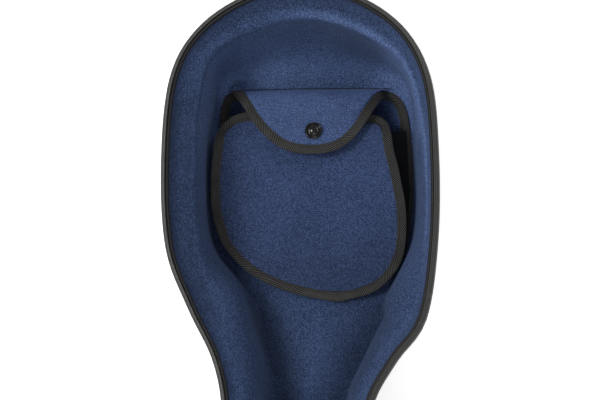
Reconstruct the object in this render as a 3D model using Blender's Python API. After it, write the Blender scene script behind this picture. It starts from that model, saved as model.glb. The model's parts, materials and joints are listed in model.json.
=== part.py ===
"""Hard cello case, lying open on its back with the lid folded flat beside the base.

Metres, +Z up. The origin is on the flat back of the base, at the middle of its length.
+Y points to the head end, and the lid lies at +X, beyond the hinge line.
"""

import math

import bmesh
import bpy
from mathutils import Matrix, Vector

# Driving dimensions of the case
RIM_Z = 0.140
HINGE_X = 0.262
HINGE_Z = RIM_Z + 0.0005
GAP = 0.0003
CUT_PAST = 0.010

# Outer edge of the base's rim seen from above, clockwise from the head end. The hinge side is straight.
OUTLINE_KEYS = [
    (0.000, 0.670), (0.056, 0.658), (0.104, 0.625), (0.131, 0.575), (0.139, 0.500), (0.138, 0.410),
    (0.126, 0.332), (0.097, 0.291), (0.075, 0.253), (0.070, 0.215), (0.084, 0.168), (0.130, 0.132),
    (0.190, 0.100), (0.235, 0.048), (0.253, -0.020), (0.255, -0.110), (0.255, -0.300), (0.255, -0.480),
    (0.243, -0.565), (0.205, -0.622), (0.130, -0.657), (0.000, -0.670), (-0.130, -0.657), (-0.205, -0.622),
    (-0.243, -0.565), (-0.255, -0.480), (-0.250, -0.390), (-0.232, -0.270), (-0.213, -0.150),
    (-0.209, -0.050), (-0.199, 0.040), (-0.166, 0.104), (-0.112, 0.150), (-0.083, 0.195),
    (-0.0775, 0.245), (-0.087, 0.294), (-0.112, 0.346), (-0.134, 0.405), (-0.139, 0.490),
    (-0.131, 0.575), (-0.104, 0.625), (-0.056, 0.658),
]
STRAIGHT_SIDE_X = 0.255
FINE_ABOVE_Y = 0.030
FINE_BELOW_Y = -0.475

# Shell: an upright band under the rim, then an elliptic turn into the flat back
SHELL_WALL = 0.003
RIM_OVERHANG = 0.0018
BAND_Z = 0.078
BACK_INSET = 0.062
SHELL_TOP_Z = RIM_Z - 0.0062
TURN_ANGLES = (0, 25, 48, 70, 90)
INNER_TURN_ANGLES = (0, 48, 90)

# Rim sections run inward from the rim's outer edge
RIM_SKIRT = 0.014
RIM_WIDTH = 0.0085
RIM_WEB = 0.0058
TONGUE_HEIGHT = 0.0024
TONGUE_INSETS = (0.0034, 0.0050)
GROOVE_DEPTH = 0.0034
GROOVE_INSETS = (0.0026, 0.0058)
SEAL_INSETS = (0.0030, 0.0054)
SEAL_FACE_DEPTH = 0.0021

# Lining as (inset, more inset at the head end, more inset in the neck, depth below the rim)
LINING_STEPS = [
    (0.0090, 0.000, 0.000, 0.0062),
    (0.0115, 0.002, 0.000, 0.014),
    (0.0150, 0.008, 0.000, 0.021),
    (0.0185, 0.012, 0.000, 0.028),
    (0.0215, 0.014, 0.003, 0.050),
    (0.0240, 0.014, 0.005, 0.078),
    (0.0265, 0.015, 0.007, 0.101),
    (0.0310, 0.016, 0.009, 0.110),
]
FLOOR_Z = RIM_Z - LINING_STEPS[-1][3]
HEAD_END_Y = (0.560, 0.650)
NECK_Y = 0.250
NECK_SPREAD = 0.090

# Wedge pads beside the cello's bouts as (low y, high y, height), with insets from the rim's outer edge
BOUT_PADS = {"lower": (-0.630, -0.385, 0.036), "upper": (-0.055, 0.110, 0.030)}
PAD_FOOT_INSETS = (0.0345, 0.0870)
PAD_TOP_INSETS = (0.0325, 0.0460)
PAD_TOE_INSET = 0.0860
PAD_TOE_HEIGHT = 0.008

# Neck cradle and its strap. The strap's arch is given as (x, height above the cradle).
CRADLE_Y = (0.185, 0.235)
CRADLE_TOP_Z = FLOOR_Z + 0.044
CRADLE_FOOT_HALF = 0.0245
CRADLE_TOP_HALF = 0.036
CRADLE_GROOVE_RADIUS = 0.020
CRADLE_GROOVE_RISE = 0.004
STRAP_HALF_WIDTH = 0.015
STRAP_THICK = 0.0022
STRAP_ARCH = [
    (-0.035, 0.0008), (-0.026, 0.0016), (-0.016, 0.012), (0.0, 0.017), (0.016, 0.012), (0.026, 0.0016),
    (0.035, 0.0008),
]

# Block for the cello's endpin
ENDPIN_Y = (-0.6205, -0.598)
ENDPIN_HALF = 0.048
ENDPIN_TOP_Z = FLOOR_Z + 0.062
ENDPIN_NOTCH_HALF = 0.012
ENDPIN_NOTCH_DEPTH = 0.024

# Accessory pocket on the floor of the head
POCKET_X = 0.003
PANEL = 0.002
BINDING_WIDTH = 0.009
BINDING_THICK = 0.003
POCKET_FOOT_Z = FLOOR_Z + 0.0006
POCKET_TOP_Y = 0.575
POCKET_BACK_HALF = [
    (0.083, POCKET_TOP_Y), (0.096, 0.530), (0.102, 0.470), (0.101, 0.415), (0.086, 0.372), (0.045, 0.352),
]
POCKET_FRONT_KEYS = [
    (0.006, 0.545), (0.058, 0.546), (0.079, 0.536), (0.088, 0.510), (0.098, 0.462), (0.102, 0.420),
    (0.093, 0.384), (0.068, 0.366), (0.030, 0.360), (-0.010, 0.364), (-0.060, 0.390), (-0.084, 0.420),
    (-0.093, 0.465), (-0.092, 0.510), (-0.081, 0.536), (-0.052, 0.547),
]
LONG_FRONT_STRETCH = 0.030
FRONT_LOW_Z = 0.040
FRONT_HIGH_Z = 0.069
FRONT_Y_RANGE = (0.360, 0.546)
GUSSET_MOUTH_Y = 0.530
GUSSET_THICK = 0.0016
GUSSET_SETBACK = 0.0015
GUSSET_FOOT_SHARE = 0.45
GUSSET_TOP_GAP = 0.0009

# The flap as (y, z) from its hinge seam to its tip, with the half width at each
FLAP_SEAM = (POCKET_X, POCKET_TOP_Y, FLOOR_Z + 0.006)
FLAP_PROFILE = [(0.575, 0.0385), (0.566, 0.056), (0.554, 0.069), (0.540, 0.0755), (0.522, 0.0775), (0.504, 0.078)]
FLAP_HALF_WIDTHS = [0.078, 0.073, 0.062, 0.052, 0.040, 0.016]
FLAP_SHEET_LIFT = 0.0004

# Snap on the flap, as (radius, low z, high z)
SNAP_Y = 0.528
SNAP_CAP = (0.0087, 0.0805, 0.0835)
SNAP_POST = (0.0026, 0.0742, 0.0815)
SNAP_SOCKET = (0.0050, 0.0738, 0.0758)
SNAP_HOLE = (0.0030, 0.0600, 0.1000)
STUD_RADIUS = 0.0045
STUD_HEIGHT = 0.0022
STUD_LIFT = 0.0010

# Hinges on the straight side
HINGE_YS = (-0.450, -0.280, -0.110)
HINGE_LENGTH = 0.050
KNUCKLE_RADIUS = 0.0045
KNUCKLE_ARC = range(-30, 211, 30)
KNUCKLE_ROOT_DROP = 0.012
KNUCKLE_END_GAP = 0.0002
HINGE_PIN_RADIUS = 0.002
LEAF = 0.0015
LEAF_DROP = 0.040
LEAF_TOP_DROP = 0.003

# Draw latches, in a frame with u outward from the rim's edge, v along it and w up from the rim plane.
# They are unlatched: each lever hangs shut, and its loop hangs down round it.
LATCH_PLACES = {
    "head": (0.0, 0.670),
    "upper": (-0.209, -0.060),
    "lower": (-0.2555, -0.460),
    "bottom": (0.0, -0.670),
}
LATCH_PIVOT = (0.008, -0.020)
LATCH_PIN_RADIUS = 0.0014
LATCH_BORE_RADIUS = 0.0018
LATCH_PLATE = ((0.0004, -0.019, -0.056), (0.0022, 0.019, -0.010))
LATCH_EAR_V = (-0.0082, 0.0062)
LATCH_EAR_THICK = 0.002
LATCH_EAR_RADIUS = 0.0026
LATCH_EAR_ROOT = [(0.0018, -0.032), (0.0018, -0.024)]
LEVER_LENGTH = 0.038
LEVER_HALF = 0.0114
LEVER_FACE_U = LATCH_PIVOT[0] + 0.0032
LEVER_THICK = 0.0016
LEVER_TOP = 0.0032
LEVER_FLANGE = 0.0022
LEVER_FLANGE_REACH = 0.0035
LEVER_FLANGE_DROP = 0.018
LOOP_PIVOT = (LATCH_PIVOT[0], LATCH_PIVOT[1] - 0.013)
LOOP_LENGTH = 0.0407
LOOP_HALF = 0.0134
LOOP_HOOK = 0.0036
LOOP_BEND = 0.0030
KEEPER_HALF = 0.0090
KEEPER_SECTION = [
    (0.0004, 0.002), (0.0085, 0.0032), (0.0085, 0.0062), (0.0076, 0.0062), (0.0072, 0.0059),
    (0.0018, 0.0059), (0.0018, 0.022), (0.0004, 0.022),
]

# Carry handle on the latch side, in the same kind of frame
HANDLE_PLACE = (-0.2285, -0.250)
HANDLE_PIVOT = (0.010, -0.040)
HANDLE_HALF_SPAN = 0.056
HANDLE_PLATE_PAST = 0.022
HANDLE_PLATE_HALF = 0.016
HANDLE_PLATE_U = (-0.0014, 0.0018)
HANDLE_LUG_V = (0.0064, 0.0134)
HANDLE_LUG_U = (0.001, HANDLE_PIVOT[0] + 0.006)
HANDLE_LUG_HALF = 0.008
HANDLE_PIN_RADIUS = 0.0025
HANDLE_BORE_RADIUS = 0.0029
HANDLE_SIDES = 10
# Half of the bail as (v, drop, radius), from above the pivot to the middle
HANDLE_BAIL = [
    (HANDLE_HALF_SPAN, -0.006, 0.0058), (HANDLE_HALF_SPAN, 0.0, 0.0058), (HANDLE_HALF_SPAN, 0.026, 0.0058),
    (HANDLE_HALF_SPAN - 0.004, 0.037, 0.0062), (HANDLE_HALF_SPAN - 0.014, 0.044, 0.0085),
    (HANDLE_HALF_SPAN - 0.024, 0.044, 0.0095),
]

# Webbing handle across the head end, half of it from its end to its middle
HEAD_HANDLE_PATH = [(0.074, 0.640), (0.058, 0.6535), (0.050, 0.662), (0.041, 0.690), (0.027, 0.704), (0.0, 0.707)]
HEAD_HANDLE_Z = (0.028, 0.050)
WEBBING_HALF_THICK = 0.0014
GRIP_THICK = 0.0035
GRIP_RISE = 0.004
GRIP_FROM = 3

# Wheels at the foot end of the base, and rubber feet on the lid
WHEEL_X = 0.135
WHEEL_Y = -0.693
WHEEL_Z = 0.031
WHEEL_RADIUS = 0.026
WHEEL_WIDTH = 0.020
WHEEL_BORE_GAP = 0.0004
AXLE_RADIUS = 0.004
HOUSING_HALF = 0.021
HOUSING_Y = (-0.6655, -0.612)
HOUSING_Z = (0.006, 0.064)
CHEEK_THICK = 0.006
CHEEK_GAP = 0.0015
CHEEK_SIDE = [
    (-0.6645, 0.010), (-0.690, 0.016), (-0.7035, 0.024), (-0.7035, 0.038), (-0.690, 0.048), (-0.6645, 0.060),
]
FOOT_END_Y = -0.684
FOOT_START_Y = -0.600
FOOT_RADIUS = 0.016
FOOT_Z = 0.060

# Bow holders in the lid
LID_X = 2 * HINGE_X
BOW_SPACING = 0.085
BOW_HOLDER_TOP_Z = FLOOR_Z + 0.030
BOW_HOLDER_HALF_LENGTH = 0.018
BOW_REST_Y = -0.500
BOW_REST_HALF_WIDTH = 0.125
BOW_TIP_Y = 0.062
BOW_TIP_HALF_WIDTH = 0.102
BOW_SLOT_HALF = 0.009
BOW_GROOVE_DEPTH = 0.016
BOW_TUNNEL_DEPTHS = (0.022, 0.004)
SPINNER_OFFSET = 0.020
SPINNER_RADIUS = 0.007
SPINNER_HEIGHT = 0.008
PADDLE_REACH = (-0.010, 0.036)
PADDLE_HALF = 0.008
PADDLE_Z = (0.004, 0.007)


def clear_scene():
    for item in list(bpy.data.objects):
        bpy.data.objects.remove(item)


def finish_material(name, colour, roughness, metallic=0.0):
    made = bpy.data.materials.new(name)
    made.use_nodes = True
    shader = made.node_tree.nodes["Principled BSDF"]
    shader.inputs["Base Color"].default_value = (*colour, 1.0)
    shader.inputs["Roughness"].default_value = roughness
    shader.inputs["Metallic"].default_value = metallic
    return made


def add_piece(name, bm, finish, matrix=None):
    """Turns a bmesh into a named object. Its faces are turned outward first."""
    bm.normal_update()
    bmesh.ops.recalc_face_normals(bm, faces=bm.faces)
    mesh = bpy.data.meshes.new(name)
    bm.to_mesh(mesh)
    bm.free()
    mesh.shade_smooth()
    mesh.set_sharp_from_angle(angle=math.radians(35))
    mesh.materials.append(finish)
    piece = bpy.data.objects.new(name, mesh)
    bpy.context.scene.collection.objects.link(piece)
    if matrix is not None:
        piece.matrix_world = matrix
    return piece


def add_helper(name, bm, matrix=None):
    """A cutter, or a shape to be joined to another. It isn't a piece of the case."""
    helper = add_piece(name, bm, bpy.data.materials["hard plastic"], matrix)
    helper.hide_render = True
    helper.display_type = "WIRE"
    return helper


def combine(piece, helper, operation):
    step = piece.modifiers.new(operation.title(), "BOOLEAN")
    step.operation = operation
    step.object = helper
    step.solver = "EXACT"


def set_origin(piece, place):
    """Puts a piece's origin at a place, given as a matrix, and leaves its shape where it is."""
    piece.data.transform(place.inverted() @ piece.matrix_world)
    piece.matrix_world = place


def hang_on_axis(name, point, pieces):
    """Parents pieces to an empty on their joint's axis."""
    axis = bpy.data.objects.new(name, None)
    bpy.context.scene.collection.objects.link(axis)
    axis.matrix_world = Matrix.Translation(point)
    for piece in pieces:
        piece.parent = axis
        piece.matrix_parent_inverse = axis.matrix_world.inverted()


def box(low, high):
    bm = bmesh.new()
    centre = (Vector(low) + Vector(high)) / 2
    size = Vector(high) - Vector(low)
    bmesh.ops.create_cube(bm, size=1.0, matrix=Matrix.Translation(centre) @ Matrix.Diagonal((*size, 1.0)))
    return bm


def rod(start, end, radius, sides):
    """A cylinder between two points."""
    bm = bmesh.new()
    start, end = Vector(start), Vector(end)
    turn = (end - start).to_track_quat("Z", "Y").to_matrix().to_4x4()
    place = Matrix.Translation((start + end) / 2) @ turn
    bmesh.ops.create_cone(
        bm, cap_ends=True, segments=sides, radius1=radius, radius2=radius, depth=(end - start).length, matrix=place
    )
    return bm


def upright_rod(centre, size, sides):
    """A cylinder along Z. Its size is (radius, low z, high z)."""
    radius, low_z, high_z = size
    return rod((*centre, low_z), (*centre, high_z), radius, sides)


def prism(corners, along):
    """A flat polygon pushed along a vector."""
    bm = bmesh.new()
    face = bm.faces.new([bm.verts.new(c) for c in corners])
    pushed = bmesh.ops.extrude_face_region(bm, geom=[face])
    moved = [v for v in pushed["geom"] if isinstance(v, bmesh.types.BMVert)]
    bmesh.ops.translate(bm, verts=moved, vec=along)
    return bm


def loft(rings, section_closed=False):
    """Joins closed rings of equal count. The ends are capped, or joined to each other when the section is closed."""
    bm = bmesh.new()
    layers = [[bm.verts.new(p) for p in ring] for ring in rings]
    pairs = list(zip(layers, layers[1:]))
    if section_closed:
        pairs.append((layers[-1], layers[0]))
    else:
        bm.faces.new(layers[0])
        bm.faces.new(layers[-1])
    for low, high in pairs:
        for i in range(len(low)):
            j = (i + 1) % len(low)
            bm.faces.new((low[i], low[j], high[j], high[i]))
    return bm


def smooth_between(a, b, c, d, t):
    """A point between b and c on the smooth curve through four points."""
    return 0.5 * (
        2 * b + (c - a) * t + (2 * a - 5 * b + 4 * c - d) * t * t + (3 * b - a - 3 * c + d) * t * t * t
    )


def smooth_loop(keys, steps_at):
    """A closed smooth curve through the keys. steps_at gives the steps between two of them."""
    points = [Vector(k) for k in keys]
    count = len(points)
    loop = []
    for i in range(count):
        a, b, c, d = (points[(i + k) % count] for k in (-1, 0, 1, 2))
        steps = steps_at(b, c)
        loop.extend(smooth_between(a, b, c, d, s / steps) for s in range(steps))
    return loop


def inward_normals(loop):
    """Unit vectors that point into a clockwise loop."""
    count = len(loop)
    normals = []
    for i in range(count):
        ahead = (loop[(i + 1) % count] - loop[i]).normalized()
        behind = (loop[i] - loop[i - 1]).normalized()
        tangent = (ahead + behind).normalized()
        normals.append(Vector((tangent.y, -tangent.x)))
    return normals


def inset_ring(loop, inset, z):
    """The loop moved inward, by one distance or by a function of the point, at height z."""
    ring = []
    for point, normal in zip(loop, inward_normals(loop)):
        moved = point + normal * (inset(point) if callable(inset) else inset)
        ring.append((moved.x, moved.y, z))
    return ring


def outline_steps(b, c):
    """Shorter steps round the head and the foot end."""
    return 2 if min(b.y, c.y) > FINE_ABOVE_Y or max(b.y, c.y) < FINE_BELOW_Y else 1


def outline():
    """The rim's outer edge."""
    return smooth_loop(OUTLINE_KEYS, outline_steps)


def to_base(ring):
    """The base's rings stay where the outline puts them."""
    return ring


def to_lid(ring):
    """Mirrors a ring across the hinge line, from the base's side to the lid's."""
    return [(2 * HINGE_X - x, y, z) for x, y, z in ring]


def turn_rings(loop, grow, angles, top_z):
    """Rings of one surface of the shell, from the top down. grow is how far it lies inside the outer surface."""
    wide = BACK_INSET - RIM_OVERHANG - grow
    tall = BAND_Z - grow
    rings = [inset_ring(loop, BACK_INSET - wide, top_z)]
    for angle in (math.radians(a) for a in angles):
        rings.append(inset_ring(loop, BACK_INSET - wide * math.cos(angle), BAND_Z - tall * math.sin(angle)))
    return rings


def smooth_step(x, low, high):
    t = min(1.0, max(0.0, (x - low) / (high - low)))
    return t * t * (3 - 2 * t)


def lining_rings(loop):
    """The padded face of the lining, from the top down to the floor."""
    rings = []
    for inset, head, neck, depth in LINING_STEPS:

        def wanted(point, inset=inset, head=head, neck=neck):
            near_head = smooth_step(point.y, *HEAD_END_Y)
            near_neck = math.exp(-(((point.y - NECK_Y) / NECK_SPREAD) ** 2))
            return inset + head * near_head + neck * near_neck

        rings.append(inset_ring(loop, wanted, RIM_Z - depth))
    return rings


def make_shell(name, side, finish):
    loop = outline()
    inner = turn_rings(loop, SHELL_WALL, INNER_TURN_ANGLES, SHELL_TOP_Z)
    outer = turn_rings(loop, 0.0, TURN_ANGLES, SHELL_TOP_Z)
    return add_piece(name, loft([side(r) for r in inner[::-1] + outer]), finish)


def make_lining(name, side, finish):
    loop = outline()
    face = lining_rings(loop)
    back = turn_rings(loop, SHELL_WALL + GAP, INNER_TURN_ANGLES, RIM_Z - LINING_STEPS[0][3])
    return add_piece(name, loft([side(r) for r in face[::-1] + back]), finish)


def make_rim(name, side, section, finish):
    """A rim from its section, which is (inset from the outer edge, height from the rim plane)."""
    loop = outline()
    rings = [side(inset_ring(loop, inset, RIM_Z + height)) for inset, height in section]
    return add_piece(name, loft(rings, section_closed=True), finish)


def rim_section(feature_insets, feature_height):
    """A skirt outside the shell and a web over it, with a tongue or a groove along the top."""
    inner = RIM_OVERHANG - GAP
    start, end = feature_insets
    return [
        (0.0, -RIM_SKIRT), (0.0, 0.0), (start, 0.0), (start, feature_height), (end, feature_height), (end, 0.0),
        (RIM_WIDTH, 0.0), (RIM_WIDTH, -RIM_WEB), (inner, -RIM_WEB), (inner, -RIM_SKIRT),
    ]


def seal_section():
    start, end = SEAL_INSETS
    root = GAP - GROOVE_DEPTH
    return [(start, root), (start, -SEAL_FACE_DEPTH), (end, -SEAL_FACE_DEPTH), (end, root)]


def shell_cutter(name, side):
    """The outside of a shell, grown by the gap, to shape what is fixed on it."""
    rings = [inset_ring(outline(), 0.0, RIM_Z)] + turn_rings(outline(), -GAP, TURN_ANGLES, RIM_Z - RIM_SKIRT)
    return add_helper(name, loft([side(r) for r in rings]))


def strip_block(points, normals, section):
    """A block that follows the wall: each section corner is (inset, z), and the ends are capped."""
    rings = []
    for point, normal in zip(points, normals):
        rings.append([(*(point + normal * inset), z) for inset, z in section])
    return loft(rings)


def wall_stretch(low_y, high_y, left):
    """The outline's points and inward normals along one side."""
    loop = outline()
    points, normals = [], []
    for point, normal in zip(loop, inward_normals(loop)):
        if low_y <= point.y <= high_y and (point.x < 0) == left:
            points.append(point)
            normals.append(normal)
    return points, normals


def make_bout_pads(finish):
    """Wedge pads that hold the cello's bouts off the walls."""
    for name, (low_y, high_y, height) in BOUT_PADS.items():
        top_z = FLOOR_Z + height
        section = [
            (PAD_FOOT_INSETS[0], FLOOR_Z + GAP), (PAD_TOP_INSETS[0], top_z), (PAD_TOP_INSETS[1], top_z),
            (PAD_TOE_INSET, FLOOR_Z + PAD_TOE_HEIGHT), (PAD_FOOT_INSETS[1], FLOOR_Z + GAP),
        ]
        for side in ("left", "right"):
            points, normals = wall_stretch(low_y, high_y, side == "left")
            add_piece(f"{name}_bout_pad_{side}", strip_block(points, normals, section), finish)


def make_neck_cradle(finish, strap_finish):
    """A foam saddle for the neck, with a strap over it that is sewn down at its left end."""
    low_y, high_y = CRADLE_Y
    foot_z = FLOOR_Z + GAP
    block = [
        (-CRADLE_FOOT_HALF, low_y, foot_z), (CRADLE_FOOT_HALF, low_y, foot_z),
        (CRADLE_TOP_HALF, low_y, CRADLE_TOP_Z), (-CRADLE_TOP_HALF, low_y, CRADLE_TOP_Z),
    ]
    cradle = add_piece("neck_cradle", prism(block, (0, high_y - low_y, 0)), finish)
    groove_z = CRADLE_TOP_Z + CRADLE_GROOVE_RISE
    groove = rod((0, low_y - CUT_PAST, groove_z), (0, high_y + CUT_PAST, groove_z), CRADLE_GROOVE_RADIUS, 20)
    combine(cradle, add_helper("cradle_groove", groove), "DIFFERENCE")

    middle_y = (low_y + high_y) / 2
    lower = [(x, middle_y - STRAP_HALF_WIDTH, CRADLE_TOP_Z + rise) for x, rise in STRAP_ARCH]
    upper = [(x, y, z + STRAP_THICK) for x, y, z in reversed(lower)]
    strap = add_piece("neck_strap", prism(lower + upper, (0, 2 * STRAP_HALF_WIDTH, 0)), strap_finish)
    sewn_x, sewn_rise = STRAP_ARCH[0]
    set_origin(strap, Matrix.Translation((sewn_x, middle_y, CRADLE_TOP_Z + sewn_rise)))


def make_endpin_block(finish):
    low_y, high_y = ENDPIN_Y
    block = box((-ENDPIN_HALF, low_y, FLOOR_Z + GAP), (ENDPIN_HALF, high_y, ENDPIN_TOP_Z))
    piece = add_piece("endpin_block", block, finish)
    notch = box(
        (-ENDPIN_NOTCH_HALF, low_y - CUT_PAST, ENDPIN_TOP_Z - ENDPIN_NOTCH_DEPTH),
        (ENDPIN_NOTCH_HALF, high_y + CUT_PAST, ENDPIN_TOP_Z + CUT_PAST),
    )
    combine(piece, add_helper("endpin_notch", notch), "DIFFERENCE")


def front_height(y):
    """The height of the pocket's front panel, which rises from its foot to its mouth."""
    low, high = FRONT_Y_RANGE
    return FRONT_LOW_Z + (FRONT_HIGH_Z - FRONT_LOW_Z) * min(1.0, max(0.0, (y - low) / (high - low)))


def foot_height(y):
    """The pocket's back panel lies flat on the lining."""
    return POCKET_FOOT_Z


def sheet_rings(loop, inset, height, thick):
    """The lower and upper edges of a sheet whose height is a function of y."""
    moved = [p + n * inset for p, n in zip(loop, inward_normals(loop))]
    low = [(p.x, p.y, height(p.y)) for p in moved]
    high = [(x, y, z + thick) for x, y, z in low]
    return low, high


def make_panel(name, loop, height, finish):
    """A board inside its binding."""
    return add_piece(name, loft(sheet_rings(loop, BINDING_WIDTH + GAP, height, PANEL)), finish)


def make_binding(name, loop, height, finish):
    """The tape round the edge of a panel."""
    outer_low, outer_high = sheet_rings(loop, 0.0, height, BINDING_THICK)
    inner_low, inner_high = sheet_rings(loop, BINDING_WIDTH, height, BINDING_THICK)
    return add_piece(name, loft([outer_low, outer_high, inner_high, inner_low], section_closed=True), finish)


def back_steps(b, c):
    return 2 if b.y != c.y and b.y < POCKET_TOP_Y else 1


def front_steps(b, c):
    return 2 if (b - c).length > LONG_FRONT_STRETCH else 1


def pocket_back_loop():
    right = [(POCKET_X + x, y) for x, y in POCKET_BACK_HALF]
    left = [(POCKET_X - x, y) for x, y in reversed(POCKET_BACK_HALF)]
    return smooth_loop([*right, *left], back_steps)


def pocket_front_loop():
    return smooth_loop(POCKET_FRONT_KEYS, front_steps)


def make_gusset(finish):
    """The bellows wall from the back panel up to the front panel, open at the mouth."""
    front, back = pocket_front_loop(), pocket_back_loop()
    back_normals = inward_normals(back)
    foot_z = POCKET_FOOT_Z + BINDING_THICK + GAP
    rings = []
    for point, normal in zip(front, inward_normals(front)):
        if point.y >= GUSSET_MOUTH_Y:
            continue
        nearest = min(range(len(back)), key=lambda i: (back[i] - point).length)
        head = point + normal * GUSSET_SETBACK
        foot = (back[nearest] + back_normals[nearest] * GUSSET_SETBACK).lerp(head, GUSSET_FOOT_SHARE)
        top_z = front_height(head.y) - GUSSET_TOP_GAP
        wall = normal * GUSSET_THICK
        rings.append([(*foot, foot_z), (*head, top_z), (*(head + wall), top_z), (*(foot + wall), foot_z)])
    return add_piece("pocket_gusset", loft(rings), finish)


def flap_path(inset):
    """The flap's edge moved inward, from its right end at the seam round to its left end, with heights."""
    right = [(POCKET_X + half, y, z) for (y, z), half in zip(FLAP_PROFILE, FLAP_HALF_WIDTHS)]
    left = [(2 * POCKET_X - x, y, z) for x, y, z in reversed(right)]
    path = [Vector(p) for p in right + left]
    moved = []
    for i, point in enumerate(path):
        step = (path[min(i + 1, len(path) - 1)] - path[max(i - 1, 0)]).xy.normalized()
        moved.append(Vector((point.x + step.y * inset, point.y - step.x * inset, point.z)))
    return moved


def make_flap(fabric, tape):
    """The flap, and the tape along its curved edge."""
    up = Vector((0, 0, BINDING_THICK))
    rings = [[outer, outer + up, inner + up, inner] for outer, inner in zip(flap_path(0.0), flap_path(BINDING_WIDTH))]
    binding = add_piece("pocket_flap_binding", loft(rings), tape)

    low = flap_path(BINDING_WIDTH + GAP)
    lift, top = Vector((0, 0, FLAP_SHEET_LIFT)), Vector((0, 0, PANEL))
    rows = []
    for right, left in list(zip(low, reversed(low)))[: len(low) // 2]:
        rows.append([left + lift, right + lift, right + top, left + top])
    return add_piece("pocket_flap", loft(rows), fabric), binding


def make_snap(flap, finish):
    """The snap's cap with its post and socket in the flap, and the stud on the front panel."""
    centre = (POCKET_X, SNAP_Y)
    combine(flap, add_helper("snap_hole", upright_rod(centre, SNAP_HOLE, 12)), "DIFFERENCE")
    cap = add_piece("snap_cap", upright_rod(centre, SNAP_CAP, 24), finish)
    combine(cap, add_helper("snap_post", upright_rod(centre, SNAP_POST, 12)), "UNION")
    combine(cap, add_helper("snap_socket", upright_rod(centre, SNAP_SOCKET, 16)), "UNION")
    stud_z = front_height(SNAP_Y) + PANEL + STUD_LIFT
    add_piece("snap_stud", upright_rod(centre, (STUD_RADIUS, stud_z, stud_z + STUD_HEIGHT), 16), finish)
    return cap


def make_pocket(fabric, tape, snap_finish):
    back, front = pocket_back_loop(), pocket_front_loop()
    make_panel("pocket_back", back, foot_height, fabric)
    make_binding("pocket_back_binding", back, foot_height, tape)
    make_panel("pocket_front", front, front_height, fabric)
    make_binding("pocket_front_binding", front, front_height, tape)
    make_gusset(tape)
    flap, binding = make_flap(fabric, tape)
    cap = make_snap(flap, snap_finish)
    hang_on_axis("pocket_flap_axis", FLAP_SEAM, [flap, binding, cap])


def make_hinge_leaf(name, y, on_base, finish):
    """A leaf with its knuckles. The base's leaf has two knuckles and the pin, and the lid's leaf turns on it."""
    side = -1 if on_base else 1
    face = HINGE_X + side * (HINGE_X - STRAIGHT_SIDE_X - GAP)
    back = face - side * LEAF
    low_x, high_x = sorted((face, back))
    half, third = HINGE_LENGTH / 2, HINGE_LENGTH / 6
    plate = box((low_x, y - half, RIM_Z - LEAF_DROP), (high_x, y + half, RIM_Z - LEAF_TOP_DROP))
    leaf = add_piece(name, plate, finish)
    if on_base:
        spans = [(-half, -third - KNUCKLE_END_GAP), (third + KNUCKLE_END_GAP, half)]
    else:
        spans = [(KNUCKLE_END_GAP - third, third - KNUCKLE_END_GAP)]
    root_z = RIM_Z - KNUCKLE_ROOT_DROP
    for n, (low_y, high_y) in enumerate(spans):
        corners = [(face, y + low_y, root_z), (back, y + low_y, root_z)]
        for angle in (math.radians(a) for a in KNUCKLE_ARC):
            x = HINGE_X - side * KNUCKLE_RADIUS * math.cos(angle)
            corners.append((x, y + low_y, HINGE_Z + KNUCKLE_RADIUS * math.sin(angle)))
        knuckle = prism(corners, (0, high_y - low_y, 0))
        combine(leaf, add_helper(f"{name}_knuckle_{n}", knuckle), "UNION")
    reach = half - 0.001 if on_base else half + CUT_PAST
    radius = HINGE_PIN_RADIUS if on_base else HINGE_PIN_RADIUS + GAP
    pin = rod((HINGE_X, y - reach, HINGE_Z), (HINGE_X, y + reach, HINGE_Z), radius, 12)
    combine(leaf, add_helper(f"{name}_pin", pin), "UNION" if on_base else "DIFFERENCE")
    return leaf


def wall_frame(place):
    """A frame on the rim's outer edge nearest to a place: u outward, v along the edge, w up from the rim plane."""
    loop = outline()
    target = Vector(place)
    nearest = min(range(len(loop)), key=lambda i: (loop[i] - target).length)
    outward = -inward_normals(loop)[nearest]
    origin = target - outward * (target - loop[nearest]).dot(outward)
    u, w = Vector((*outward, 0)), Vector((0, 0, 1))
    frame = Matrix((u, w.cross(u), w)).transposed().to_4x4()
    frame.translation = Vector((*origin, RIM_Z))
    return frame


def open_lid_turn():
    """Carries a piece of the closed lid to where it lies with the lid open."""
    pivot = Matrix.Translation((HINGE_X, 0, HINGE_Z))
    return pivot @ Matrix.Rotation(math.pi, 4, "Y") @ pivot.inverted()


def axis_place(frame, pivot):
    """The frame moved to a pivot given as (u, w)."""
    return frame @ Matrix.Translation((pivot[0], 0, pivot[1]))


def add_wire(name, path, radius, finish, matrix):
    """A bent round wire."""
    curve = bpy.data.curves.new(name, "CURVE")
    curve.dimensions = "3D"
    curve.bevel_depth = radius
    curve.bevel_resolution = 2
    curve.use_fill_caps = True
    spline = curve.splines.new("POLY")
    spline.points.add(len(path) - 1)
    for point, place in zip(spline.points, path):
        point.co = (*place, 1.0)
    curve.materials.append(finish)
    wire = bpy.data.objects.new(name, curve)
    bpy.context.scene.collection.objects.link(wire)
    wire.matrix_world = matrix
    return wire


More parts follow.
